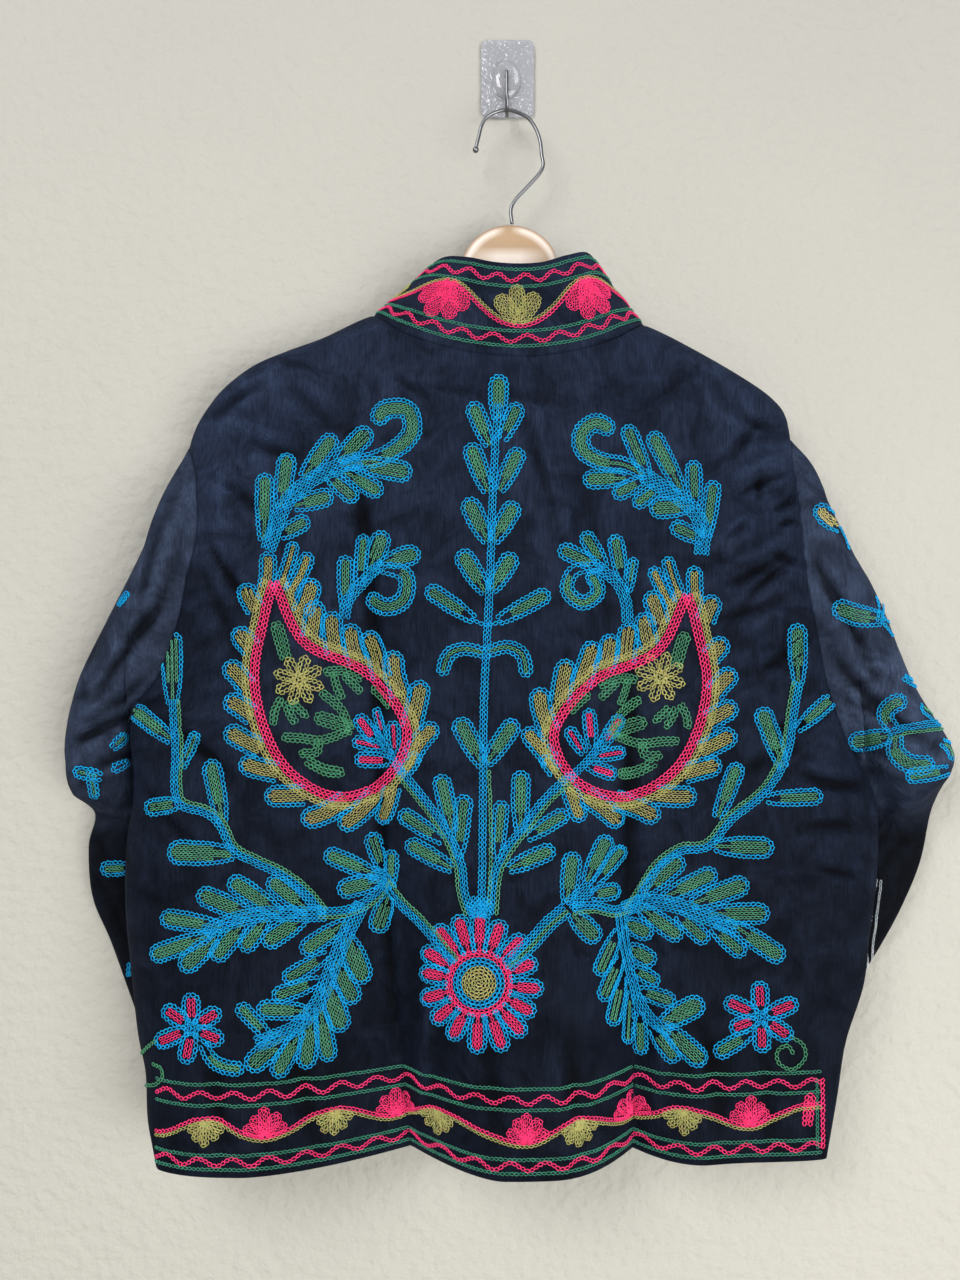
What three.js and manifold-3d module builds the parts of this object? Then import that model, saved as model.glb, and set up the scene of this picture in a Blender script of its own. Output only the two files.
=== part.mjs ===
// A short embroidered jacket, seen from its back, on a moulded hanger that hangs from a small wall hook.
// Millimetres. +Z is up and +Y points into the wall, whose face is the plane y = 0 behind the plate.
import * as THREE from "three";
import Module from "manifold-3d";

const wasm = await Module();
wasm.setup();

// Driving sizes
const clothThick = 1.2;          // heavy cotton twill
const collarThick = 2.4;         // two layers of the cloth
const seamGap = 0.4;             // left free between two pieces at a seam
const hemZ = -903;               // all the hem hangs to this height
const hookY = -26;               // plane of the hanger's wire and of the shoulder seams
const plateWidth = 46;
const plateHeight = 67;
const plateThick = 2;
const plateCorner = 6;
const bossWidth = 26;
const bossHeight = 35;
const bossDepth = 5;
const wireDia = 3;
const domeRadius = 43.5;
const domeCentre = { x: 1.4, z: -178 };

// Upper line of the jacket: the shoulder seams, carried on across the neck as if it were closed.
const shoulderLine = [
  { x: -268, z: -324 },
  { x: -262, z: -309 },
  { x: -256, z: -298 },
  { x: -241, z: -278 },
  { x: -228, z: -266 },
  { x: -211, z: -254 },
  { x: -185, z: -243 },
  { x: -155, z: -232 },
  { x: -115, z: -214 },
  { x: -60, z: -202 },
  { x: 0, z: -200 },
  { x: 60, z: -205 },
  { x: 115, z: -222 },
  { x: 161, z: -245 },
  { x: 203, z: -270 },
  { x: 222, z: -284 },
  { x: 232, z: -297 },
  { x: 237, z: -317 },
];
const neckLeft = -115;
const neckRight = 115;
const backNeck = [
  { x: -115, z: -214 },
  { x: -91, z: -233 },
  { x: -59, z: -248 },
  { x: -28, z: -256 },
  { x: 7, z: -259.5 },
  { x: 41, z: -256 },
  { x: 72, z: -247 },
  { x: 95, z: -235 },
  { x: 115, z: -222 },
];
const frontNeck = [
  { x: -115, z: -214 },
  { x: -108, z: -232 },
  { x: -84, z: -260 },
  { x: -45, z: -286 },
  { x: 0, z: -298 },
  { x: 45, z: -288 },
  { x: 84, z: -264 },
  { x: 108, z: -239 },
  { x: 115, z: -222 },
];

// How far the cloth stands off the shoulder line, and how far down it takes to get there.
const shoulderRound = [
  { x: 0, out: 50, drop: 58 },
  { x: 40, out: 47, drop: 54 },
  { x: 70, out: 40, drop: 46 },
  { x: 91, out: 33, drop: 36 },
  { x: 115, out: 27, drop: 26 },
  { x: 160, out: 23, drop: 20 },
  { x: 210, out: 22, drop: 18 },
  { x: 270, out: 18, drop: 18 },
];
const frontOut = 21;
const frontDrop = 18;

// Sides of the body from the shoulder point, down the armhole seam to the underarm, then down the side seam.
// back and front are the depths of the two panels' edges there.
const leftSide = [
  { z: -324, x: -268, back: -27, front: -25 },
  { z: -348, x: -258, back: -45, front: -12 },
  { z: -375, x: -254, back: -55, front: -8 },
  { z: -404, x: -254.5, back: -58, front: -8 },
  { z: -431, x: -261, back: -58, front: -10 },
  { z: -468, x: -269, back: -56, front: -15 },
  { z: -511, x: -286, back: -50, front: -26 },
  { z: -549, x: -312, back: -40, front: -40 },
  { z: -604, x: -310, back: -39, front: -39 },
  { z: -655, x: -316, back: -40, front: -40 },
  { z: -700, x: -316, back: -42, front: -42 },
  { z: -745, x: -311, back: -46, front: -46 },
  { z: -804, x: -303, back: -50, front: -50 },
  { z: -833, x: -296, back: -54, front: -54 },
  { z: -871, x: -292, back: -62, front: -62 },
  { z: -903, x: -281, back: -76, front: -76 },
];
const rightSide = [
  { z: -317, x: 237, back: -27, front: -25 },
  { z: -340, x: 235, back: -42, front: -13 },
  { z: -366, x: 235.5, back: -53, front: -8 },
  { z: -402, x: 238.5, back: -57, front: -8 },
  { z: -439, x: 242, back: -58, front: -10 },
  { z: -480, x: 251, back: -56, front: -14 },
  { z: -526, x: 262, back: -50, front: -24 },
  { z: -572, x: 282, back: -40, front: -40 },
  { z: -617, x: 304, back: -39, front: -39 },
  { z: -678, x: 305, back: -39, front: -39 },
  { z: -729, x: 298, back: -42, front: -42 },
  { z: -769, x: 292, back: -45, front: -45 },
  { z: -814, x: 276, back: -49, front: -49 },
  { z: -856, x: 267, back: -55, front: -55 },
  { z: -903, x: 256, back: -62, front: -62 },
];
const leftUnderarm = -549;
const rightUnderarm = -572;
const sideRound = 55;            // width over which the back turns into the side seam
const frontSideRound = 34;

// The back's hem without its folds, then the two long folds that run up from the hem.
const hemDepth = [
  { x: -281, y: -90 },
  { x: -250, y: -93 },
  { x: -80, y: -97 },
  { x: 10, y: -100 },
  { x: 60, y: -95 },
  { x: 110, y: -84 },
  { x: 180, y: -71 },
  { x: 256, y: -68 },
];
const folds = [
  { name: "left valley", hemX: -81, upX: -101, topX: -126, depth: 57, left: 130, right: 75, power: 1.5, rise: 1.9 },
  { name: "right valley", hemX: 102, upX: 99, topX: 97, depth: 42, left: 66, right: 58, power: 1.9, rise: 1.7 },
];
const foldTop = -430;            // the folds have run out at this height

// The sleeves' sections from the armhole to the cuff: outer and inner ends, and how far each side stands out.
// Past the share tuck the section lies flat, behind the body.
const leftSleeve = [
  { ox: -283, oz: -354, oy: -29, ix: -319, iz: -560, iy: -32, back: 32, front: 20, tuck: 0.93 },
  { ox: -301, oz: -402, oy: -29, ix: -317, iz: -578, iy: -24, back: 33, front: 17, tuck: 0.78 },
  { ox: -333, oz: -465, oy: -28, ix: -302, iz: -594, iy: -18, back: 33, front: 13, tuck: 0.62 },
  { ox: -358, oz: -516, oy: -28, ix: -295, iz: -606, iy: -16, back: 32, front: 11, tuck: 0.68 },
  { ox: -369, oz: -560, oy: -28, ix: -289, iz: -618, iy: -15, back: 31, front: 11, tuck: 0.68 },
  { ox: -370, oz: -590, oy: -27, ix: -285, iz: -630, iy: -15, back: 28, front: 11, tuck: 0.66 },
  { ox: -367, oz: -612, oy: -25, ix: -282, iz: -638, iy: -15, back: 18, front: 11, tuck: 0.62 },
  { ox: -350, oz: -631, oy: -19, ix: -279, iz: -648, iy: -15, back: 11, front: 11, tuck: 1 },
  { ox: -356, oz: -660, oy: -17, ix: -272, iz: -668, iy: -15, back: 11, front: 11, tuck: 1 },
  { ox: -353, oz: -703, oy: -16, ix: -262, iz: -700, iy: -15, back: 11, front: 11, tuck: 1 },
  { ox: -337, oz: -742, oy: -16, ix: -253, iz: -731, iy: -15, back: 11, front: 11, tuck: 1 },
  { ox: -317, oz: -798, oy: -16, ix: -236, iz: -782, iy: -15, back: 11, front: 11, tuck: 1 },
  { ox: -303, oz: -836, oy: -16, ix: -224, iz: -821, iy: -15, back: 11, front: 11, tuck: 1 },
];
const rightSleeve = [
  { ox: 252, oz: -336, oy: -29, ix: 295, iz: -586, iy: -31, back: 32, front: 20, tuck: 1 },
  { ox: 265, oz: -367, oy: -29, ix: 288, iz: -602, iy: -22, back: 34, front: 18, tuck: 0.84 },
  { ox: 284, oz: -405, oy: -28, ix: 284, iz: -618, iy: -18, back: 35, front: 14, tuck: 0.72 },
  { ox: 307, oz: -447, oy: -28, ix: 279, iz: -634, iy: -16, back: 35, front: 12, tuck: 0.64 },
  { ox: 336, oz: -518, oy: -28, ix: 273, iz: -648, iy: -15, back: 34, front: 11, tuck: 0.54 },
  { ox: 366, oz: -566, oy: -28, ix: 270, iz: -660, iy: -15, back: 32, front: 11, tuck: 0.54 },
  { ox: 372, oz: -586, oy: -27, ix: 267, iz: -668, iy: -15, back: 27, front: 11, tuck: 0.54 },
  { ox: 366, oz: -604, oy: -24, ix: 265, iz: -676, iy: -15, back: 17, front: 11, tuck: 0.5 },
  { ox: 358, oz: -630, oy: -19, ix: 261, iz: -690, iy: -15, back: 11, front: 11, tuck: 1 },
  { ox: 350, oz: -672, oy: -17, ix: 252, iz: -712, iy: -15, back: 11, front: 11, tuck: 1 },
  { ox: 336, oz: -708, oy: -16, ix: 243, iz: -735, iy: -15, back: 11, front: 11, tuck: 1 },
  { ox: 318, oz: -742, oy: -16, ix: 232, iz: -758, iy: -15, back: 11, front: 11, tuck: 1 },
  { ox: 298, oz: -776, oy: -16, ix: 216, iz: -784, iy: -15, back: 11, front: 11, tuck: 1 },
  { ox: 285, oz: -812, oy: -16, ix: 204, iz: -816, iy: -15, back: 11, front: 11, tuck: 1 },
];

// The collar band, from its left end at the centre front, round the back of the neck, to its right end.
const collarStations = [
  { bx: -5, bz: -298, tx: -5, ty: -5, tz: -238 },
  { bx: -45, bz: -286, tx: -27, ty: -5, tz: -228 },
  { bx: -84, bz: -260, tx: -48, ty: -6, tz: -210 },
  { bx: -108, bz: -232, tx: -62, ty: -12, tz: -190 },
  { bx: -115, bz: -214, tx: -69, ty: -30, tz: -178 },
  { bx: -91, bz: -233, tx: -55, ty: -46, tz: -170.5 },
  { bx: -59, bz: -248, tx: -35, ty: -58, tz: -174 },
  { bx: -28, bz: -256, tx: -13, ty: -65, tz: -180.5 },
  { bx: 7, bz: -259.5, tx: 7, ty: -67, tz: -182.5 },
  { bx: 41, bz: -256, tx: 27, ty: -65, tz: -180.5 },
  { bx: 72, bz: -247, tx: 47, ty: -58, tz: -172.5 },
  { bx: 95, bz: -235, tx: 65, ty: -46, tz: -166.5 },
  { bx: 115, bz: -222, tx: 75, ty: -32, tz: -177 },
  { bx: 108, bz: -239, tx: 66, ty: -12, tz: -194 },
  { bx: 84, bz: -264, tx: 50, ty: -6, tz: -214 },
  { bx: 45, bz: -288, tx: 27, ty: -5, tz: -230 },
  { bx: 5, bz: -298, tx: 5, ty: -5, tz: -238 },
];

// The hanger's arms: half thickness and depth of section along each arm.
const hangerArms = [
  { x: 0, half: 6.5, deep: 90, low: 0 },
  { x: 14, half: 6.5, deep: 88, low: 0 },
  { x: 26, half: 6.6, deep: 80, low: 0 },
  { x: 35, half: 6.8, deep: 70, low: 0 },
  { x: 41, half: 7, deep: 56, low: 0 },
  { x: 46, half: 7.2, deep: 42, low: 0 },
  { x: 56, half: 8, deep: 34, low: 0 },
  { x: 80, half: 9, deep: 28, low: 3 },
  { x: 112, half: 10, deep: 28, low: 5 },
  { x: 140, half: 13, deep: 30, low: 1.5 },
  { x: 165, half: 15, deep: 32, low: 0.5 },
  { x: 190, half: 16, deep: 34, low: 0.5 },
  { x: 212, half: 15, deep: 33, low: 1.5 },
  { x: 224, half: 12, deep: 24, low: 4 },
  { x: 230, half: 5, deep: 10, low: 12 },
];

// Smooth reading of a table: cubic between its rows, with the slopes taken over the neighbours.
function read(rows, key, column, at) {
  const n = rows.length;
  const up = rows[n - 1][key] > rows[0][key] ? 1 : -1;
  if ((at - rows[0][key]) * up <= 0) return rows[0][column];
  if ((at - rows[n - 1][key]) * up >= 0) return rows[n - 1][column];
  let i = 0;
  while ((at - rows[i + 1][key]) * up > 0) i++;
  const slope = (k) => {
    const a = rows[Math.max(k - 1, 0)];
    const b = rows[Math.min(k + 1, n - 1)];
    return (b[column] - a[column]) / (b[key] - a[key]);
  };
  const h = rows[i + 1][key] - rows[i][key];
  const t = (at - rows[i][key]) / h;
  const t2 = t * t;
  const t3 = t2 * t;
  return (
    (2 * t3 - 3 * t2 + 1) * rows[i][column] +
    (t3 - 2 * t2 + t) * h * slope(i) +
    (3 * t2 - 2 * t3) * rows[i + 1][column] +
    (t3 - t2) * h * slope(i + 1)
  );
}
const lerp = (a, b, t) => a + (b - a) * t;
const clamp = (v) => Math.min(Math.max(v, 0), 1);
const smooth = (v) => clamp(v) ** 2 * (3 - 2 * clamp(v));
const roundOff = (v) => Math.sqrt(1 - (1 - clamp(v)) ** 2);

// Depth of a panel's edge: the two panels part at the armhole and meet below the underarm.
function edgeDepth(x, z, column) {
  const side = x < 0 ? leftSide : rightSide;
  if (z > (x < 0 ? leftUnderarm : rightUnderarm)) return read(side, "z", column, z);
  return (read(side, "z", "back", z) + read(side, "z", "front", z)) / 2;
}

// Depth of the back panel's outer face at a height and a place across.
function backDepth(x, z) {
  const below = Math.max(read(shoulderLine, "x", "z", x) - z, 0);
  const out = read(shoulderRound, "x", "out", Math.abs(x));
  const drop = read(shoulderRound, "x", "drop", Math.abs(x));
  const down = clamp((-260 - z) / (-260 - hemZ));
  const hem = -read(hemDepth, "x", "y", x);
  let y = hookY - out * roundOff(below / drop) - (hem + hookY - out) * down ** 0.85;
  for (const f of folds) {
    const t = clamp((foldTop - z) / (foldTop - hemZ));
    const fx = t > 0.5 ? lerp(f.upX, f.hemX, (t - 0.5) * 2) : lerp(f.topX, f.upX, t * 2);
    const across = x < fx ? (fx - x) / f.left : (x - fx) / f.right;
    y += f.depth * t ** f.rise * (1 - clamp(across)) ** f.power;
  }
  const side = x < 0 ? leftSide : rightSide;
  const edge = Math.abs(x - read(side, "z", "x", z));
  return lerp(edgeDepth(x, z, "back"), y, roundOff(edge / sideRound));
}

// Depth of the fronts' outer face, which lies near the wall and leaves room for the forearms at the sides.
function frontDepth(x, z) {
  const below = Math.max(read(shoulderLine, "x", "z", x) - z, 0);
  const room = 28 * smooth((Math.abs(x) - 115) / 70) * smooth((-500 - z) / 110);
  const y = hookY + frontOut * roundOff(below / frontDrop) - 4 * smooth((-300 - z) / 400) - room;
  const side = x < 0 ? leftSide : rightSide;
  const edge = Math.abs(x - read(side, "z", "x", z));
  return lerp(edgeDepth(x, z, "front"), y, roundOff(edge / frontSideRound));
}

// Rows down a side: shares of the armhole, then shares of the side seam.
const armholeShares = [0, 0.012, 0.04, 0.09, 0.16, 0.27, 0.4, 0.53, 0.67, 0.8, 0.91, 0.975, 1];
const seamShares = [0.08, 0.17, 0.27, 0.37, 0.47, 0.57, 0.67, 0.76, 0.85, 0.93, 1];
function sideRows(top, underarm) {
  const arm = armholeShares.map((s) => lerp(top, underarm, s));
  const seam = seamShares.map((s) => lerp(underarm, hemZ, s));
  return arm.concat(seam);
}
const leftRows = sideRows(leftSide[0].z, leftUnderarm);
const rightRows = sideRows(rightSide[0].z, rightUnderarm);
const rowShare = (rows, j) => (rows[j] - rows[0]) / (hemZ - rows[0]);

// Points of a panel between two upright lines; spots gives the columns' places along its top edge.
function panelGrid(spots, topOf, leftAt, rightAt, depthOf) {
  const first = spots[0];
  const last = spots[spots.length - 1];
  return leftRows.map((_, j) =>
    spots.map((spot) => {
      const top = topOf(spot);
      const u = (spot + 268) / 505;
      const share = lerp(rowShare(leftRows, j), rowShare(rightRows, j), u);
      const z = lerp(top, hemZ, share);
      const t = (spot - first) / (last - first);
      const x = lerp(leftAt(z), rightAt(z), t);
      return new THREE.Vector3(x, depthOf(x, z), z);
    }),
  );
}

// A cloth wall on a grid of points: thick is laid on the side that away points from. Where seam says that
// a point is on a seam with the other panel, the wall's end lies square to Y.
function clothSolid(grid, thick, away, wrap, seam = () => false) {
  const rows = grid.length;
  const cols = grid[0].length;
  const at = (j, i) => grid[j][wrap ? (i + cols) % cols : Math.min(Math.max(i, 0), cols - 1)];
  const normals = grid.map((row, j) =>
    row.map((p, i) => {
      const across = at(j, i + 1).clone().sub(at(j, i - 1));
      const down = grid[Math.min(j + 1, rows - 1)][i].clone().sub(grid[Math.max(j - 1, 0)][i]);
      const normal = across.cross(down);
      if (seam(j, i)) normal.y = 0;
      return normal.normalize();
    }),
  );
  let facing = 0;
  grid.forEach((row, j) => row.forEach((p, i) => (facing += normals[j][i].dot(away(p, j)))));
  const sign = facing > 0 ? -1 : 1;
  const points = [];
  for (const side of [0, 1]) {
    grid.forEach((row, j) =>
      row.forEach((p, i) => points.push(p.clone().addScaledVector(normals[j][i], sign * thick * side))),
    );
  }
  const index = [];
  const id = (side, j, i) => side * rows * cols + j * cols + (i % cols);
  const quad = (a, b, c, d) => index.push(a, b, c, a, c, d);
  const spans = wrap ? cols : cols - 1;
  for (let j = 0; j + 1 < rows; j++) {
    for (let i = 0; i < spans; i++) {
      quad(id(0, j, i), id(0, j, i + 1), id(0, j + 1, i + 1), id(0, j + 1, i));
      quad(id(1, j, i), id(1, j + 1, i), id(1, j + 1, i + 1), id(1, j, i + 1));
    }
  }
  for (let i = 0; i < spans; i++) {
    quad(id(0, 0, i), id(1, 0, i), id(1, 0, i + 1), id(0, 0, i + 1));
    quad(id(0, rows - 1, i), id(0, rows - 1, i + 1), id(1, rows - 1, i + 1), id(1, rows - 1, i));
  }
  if (!wrap) {
    for (let j = 0; j + 1 < rows; j++) {
      quad(id(0, j, 0), id(0, j + 1, 0), id(1, j + 1, 0), id(1, j, 0));
      quad(id(0, j, cols - 1), id(1, j, cols - 1), id(1, j + 1, cols - 1), id(0, j + 1, cols - 1));
    }
  }
  return closed(points, index);
}

// A closed geometry from points and triangles, turned to face outwards.
function closed(points, index) {
  let volume = 0;
  for (let k = 0; k < index.length; k += 3) {
    const [a, b, c] = [points[index[k]], points[index[k + 1]], points[index[k + 2]]];
    volume += a.dot(b.clone().cross(c));
  }
  if (volume < 0) {
    for (let k = 0; k < index.length; k += 3) {
      [index[k], index[k + 1]] = [index[k + 1], index[k]];
    }
  }
  const g = new THREE.BufferGeometry().setFromPoints(points);
  g.setIndex(index);
  return g;
}

// A solid skinned over a row of closed rings, shut at both ends.
function ringSolid(rings) {
  const n = rings[0].length;
  const points = rings.flat();
  const first = points.push(average(rings[0])) - 1;
  const last = points.push(average(rings[rings.length - 1])) - 1;
  const index = [];
  for (let j = 0; j + 1 < rings.length; j++) {
    for (let i = 0; i < n; i++) {
      const k = (i + 1) % n;
      index.push(j * n + i, j * n + k, (j + 1) * n + k, j * n + i, (j + 1) * n + k, (j + 1) * n + i);
    }
  }
  const end = (rings.length - 1) * n;
  for (let i = 0; i < n; i++) {
    const k = (i + 1) % n;
    index.push(first, k, i, last, end + i, end + k);
  }
  return closed(points, index);
}
function average(ring) {
  const c = new THREE.Vector3();
  ring.forEach((p) => c.add(p));
  return c.divideScalar(ring.length);
}

// A round rod along a smooth path.
function rod(points, radius, steps, sides) {
  const path = new THREE.CatmullRomCurve3(points.map((p) => new THREE.Vector3(...p)), false, "centripetal");
  const disc = new THREE.Shape();
  for (let i = 0; i < sides; i++) {
    const a = (i / sides) * 2 * Math.PI;
    if (i) disc.lineTo(radius * Math.cos(a), radius * Math.sin(a));
    else disc.moveTo(radius, 0);
  }
  disc.closePath();
  return new THREE.ExtrudeGeometry(disc, { extrudePath: path, steps });
}

function toManifold(geometry) {
  const g = geometry.index ? geometry.toNonIndexed() : geometry;
  const mesh = new wasm.Mesh({
    numProp: 3,
    vertProperties: new Float32Array(g.getAttribute("position").array),
    triVerts: Uint32Array.from({ length: g.getAttribute("position").count }, (_, i) => i),
  });
  mesh.merge();
  return new wasm.Manifold(mesh);
}
function toGeometry(solid) {
  const m = solid.getMesh();
  const g = new THREE.BufferGeometry();
  g.setAttribute("position", new THREE.BufferAttribute(new Float32Array(m.vertProperties), 3));
  g.setIndex(new THREE.BufferAttribute(new Uint32Array(m.triVerts), 1));
  return g;
}

const jacket = new THREE.Group();
jacket.name = "suzani_jacket_on_hanger";
function add(name, geometry, color, roughness, metalness = 0) {
  const mesh = new THREE.Mesh(geometry, new THREE.MeshStandardMaterial({ color, roughness, metalness }));
  mesh.name = name;
  jacket.add(mesh);
}
const cloth = 0x141a28;

// Back panel: one piece from the shoulder seams and neckline to the hem.
const backSpots = [
  -268, -264, -257, -247, -232, -214, -190, -165, -140, -115, -103, -90, -74, -58, -40, -20, 0, 20, 40, 58,
  74, 90, 103, 115, 140, 165, 190, 210, 223, 231, 237,
];
const leftAt = (z) => read(leftSide, "z", "x", z);
const rightAt = (z) => read(rightSide, "z", "x", z);
const shoulderTop = (x) => read(shoulderLine, "x", "z", x);
const backTop = (x) => (x > neckLeft && x < neckRight ? read(backNeck, "x", "z", x) : shoulderTop(x));
const backGrid = panelGrid(backSpots, backTop, leftAt, rightAt, backDepth);
// The shoulder and side edges stop half a seam gap short of the fronts.
backGrid.forEach((row, j) =>
  row.forEach((p, i) => {
    if (j === 0) p.y -= seamGap / 2;
    if (j > 0 && (i === 0 || i === row.length - 1)) p.y -= seamGap / 2;
  }),
);
const armholeEnd = armholeShares.length - 1;
const backSeam = (j, i) =>
  (j === 0 && (backSpots[i] <= neckLeft || backSpots[i] >= neckRight)) ||
  ((j >= armholeEnd || j === 0) && (i === 0 || i === backSpots.length - 1));
add("back_panel", clothSolid(backGrid, clothThick, () => new THREE.Vector3(0, -1, 0), false, backSeam), cloth, 0.9);

// Fronts: they hang between the hanger and the wall, open down the centre.
const frontSpots = [-268, -262, -252, -238, -220, -195, -165, -138, -115, -108, -96, -78, -52, -26, -5];
const frontTop = (x) => (x > neckLeft && x < neckRight ? read(frontNeck, "x", "z", x) : shoulderTop(x));
function addFront(name, spots, left, right) {
  const grid = panelGrid(spots, frontTop, left, right, frontDepth);
  const outer = left === leftAt ? 0 : spots.length - 1;
  grid.forEach((row, j) =>
    row.forEach((p, i) => {
      if (j === 0 || i === outer) p.y += seamGap / 2;
    }),
  );
  const seam = (j, i) => (j === 0 && Math.abs(spots[i]) >= neckRight) || (j >= armholeEnd && i === outer);
  add(name, clothSolid(grid, clothThick, () => new THREE.Vector3(0, 1, 0), false, seam), cloth, 0.9);
}
addFront("front_left", frontSpots, leftAt, () => -5);
addFront("front_right", frontSpots.map((x) => -x * (x < -115 ? 237 / 268 : 1)).reverse(), () => 5, rightAt);

// Sleeves: tubes from the armhole seam, past the elbow, to the open cuff.
function addSleeve(name, side, rows, sections, outward) {
  const count = armholeShares.length - 1;
  const shares = [];
  for (let k = 0; k <= count; k++) shares.push({ s: armholeShares[k], k, towards: "back" });
  for (let k = count - 1; k > 0; k--) shares.push({ s: armholeShares[k], k, towards: "front" });
  const armhole = shares.map(({ s, k, towards }) => {
    const z = rows[k];
    const x = read(side, "z", "x", z) + outward * (seamGap + 0.5);
    const mid = k === 0 || k === count;
    const y = mid ? (read(side, "z", "back", z) + read(side, "z", "front", z)) / 2 : read(side, "z", towards, z);
    return new THREE.Vector3(x, y, z);
  });
  const rings = sections.map((c) =>
    shares.map(({ s, towards }) => {
      const flat = roundOff(1 - Math.abs(2 * s - 1));
      const full = roundOff(1 - Math.abs(2 * Math.min(s / c.tuck, 1) - 1));
      const out = towards === "back" ? -Math.max(c.back * full, 8 * flat) : c.front * flat;
      const y = lerp(c.oy, c.iy, s) + out;
      return new THREE.Vector3(lerp(c.ox, c.ix, s), y, lerp(c.oz, c.iz, s));
    }),
  );
  const grid = [armhole, ...rings];
  const centres = grid.map(average);
  add(name, clothSolid(grid, clothThick, (p, j) => p.clone().sub(centres[j]), true), cloth, 0.9);
}
addSleeve("sleeve_left", leftSide, leftRows, leftSleeve, -1);
addSleeve("sleeve_right", rightSide, rightRows, rightSleeve, 1);

// Collar: a standing band round the neck, open at the centre front.
const collarPoints = 34;
const collarRows = 5;
function collarGrid() {
  const rows = collarStations.map((c, k) => ({ ...c, k }));
  const back = (k) => k >= 4 && k <= 12;
  rows.forEach((c) => (c.by = back(c.k) ? backDepth(c.bx, c.bz) : frontDepth(c.bx, c.bz)));
  rows[4].by = hookY;
  rows[12].by = hookY;
  const grid = [];
  for (let j = 0; j < collarRows; j++) {
    const v = j / (collarRows - 1);
    const row = [];
    for (let i = 0; i <= collarPoints; i++) {
      const k = (i / collarPoints) * (rows.length - 1);
      const base = ["bx", "by", "bz"].map((c) => read(rows, "k", c, k));
      const top = ["tx", "ty", "tz"].map((c) => read(rows, "k", c, k));
      const lift = seamGap + (back(Math.round(k)) ? 0.7 : 1.8);
      const rise = v + (lift / 72) * (1 - v);
      row.push(new THREE.Vector3(...base.map((b, n) => lerp(b, top[n], rise))));
    }
    grid.push(row);
  }
  return grid;
}
const neckMid = (p) => new THREE.Vector3(p.x, p.y + 36, 0);
add("collar", clothSolid(collarGrid(), collarThick, neckMid, false), cloth, 0.9);

// Hanger: a thin rounded crown with two arms that thicken towards the shoulders.
function hangerRing(x, arm) {
  const dx = x - domeCentre.x;
  const crown = Math.abs(dx) < domeRadius ? domeCentre.z + Math.sqrt(domeRadius ** 2 - dx * dx) : -1000;
  const under = shoulderTop(x) - clothThick - 1.2 - arm.low;
  const neck = lerp(under, -188 - 0.32 * Math.abs(x), smooth((115 - Math.abs(x)) / 60));
  const top = Math.max(crown, neck);
  const bottom = Math.max(crown, -1000) > neck ? Math.max(top - arm.deep, -232) : top - arm.deep;
  const ring = [];
  for (let i = 0; i < 16; i++) {
    const a = (i / 16) * 2 * Math.PI;
    const cy = Math.sign(Math.cos(a)) * Math.abs(Math.cos(a)) ** 0.8;
    const cz = Math.sign(Math.sin(a)) * Math.abs(Math.sin(a)) ** 0.8;
    ring.push(new THREE.Vector3(x, hookY + arm.half * cy, (top + bottom) / 2 + ((top - bottom) / 2) * cz));
  }
  return ring;
}
const armsBothWays = [
  ...hangerArms.slice(1).reverse().map((a) => ({ ...a, x: -a.x })),
  ...hangerArms,
];
add("hanger_body", ringSolid(armsBothWays.map((a) => hangerRing(a.x, a))), 0xd5c1a9, 0.25);

// The hanger's wire, with its ball tip; it screws into the crown.
const wirePath = [
  [3.1, hookY, domeCentre.z + domeRadius + 0.4],
  [2.3, hookY, -122.5],
  [6.5, hookY, -114],
  [15, hookY, -104.8],
  [26.5, hookY, -92],
  [29.4, hookY, -85],
  [28.3, hookY, -78],
  [26.6, hookY, -64.5],
  [22.4, hookY, -53.5],
  [14.9, hookY, -44.6],
  [0, hookY, -39.2],
  [-14, hookY, -42.4],
  [-21.3, hookY, -49.6],
  [-25.5, hookY, -64],
  [-27.2, hookY, -71],
];
const tip = wasm.Manifold.sphere(2.6, 20).translate([-27.4, hookY, -72.6]);
const wire = toManifold(rod(wirePath, wireDia / 2, 44, 10)).add(tip);
add("hanger_wire", toGeometry(wire), 0xb9bcc0, 0.25, 1);

// Wall plate with a raised round boss, and the steel hook that it carries.
function roundedPlate(width, height, corner, thick) {
  const s = new THREE.Shape();
  const w = width / 2;
  const h = height / 2;
  s.moveTo(-w + corner, -h);
  s.lineTo(w - corner, -h);
  s.absarc(w - corner, -h + corner, corner, -Math.PI / 2, 0, false);
  s.lineTo(w, h - corner);
  s.absarc(w - corner, h - corner, corner, 0, Math.PI / 2, false);
  s.lineTo(-w + corner, h);
  s.absarc(-w + corner, h - corner, corner, Math.PI / 2, Math.PI, false);
  s.lineTo(-w, -h + corner);
  s.absarc(-w + corner, -h + corner, corner, Math.PI, 1.5 * Math.PI, false);
  const g = new THREE.ExtrudeGeometry(s, { depth: thick, bevelEnabled: false, curveSegments: 5 });
  g.rotateX(Math.PI / 2);
  return g;
}
add("wall_plate", roundedPlate(plateWidth, plateHeight, plateCorner, plateThick), 0xbebec4, 0.3);
const bossRings = [0, 0.45, 0.8, 1].map((t) => {
  const y = -plateThick - 0.3 - bossDepth * t;
  const size = 1 - 0.45 * t ** 3;
  return Array.from({ length: 24 }, (_, i) => {
    const a = (i / 24) * 2 * Math.PI;
    return new THREE.Vector3(-1 + (bossWidth / 2) * size * Math.cos(a), y, -1.5 + (bossHeight / 2) * size * Math.sin(a));
  });
});
add("hook_boss", ringSolid(bossRings), 0xc8c8ce, 0.3);
const hookTop = -plateThick - 0.3 - bossDepth - 0.3 - 1.5;
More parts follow.
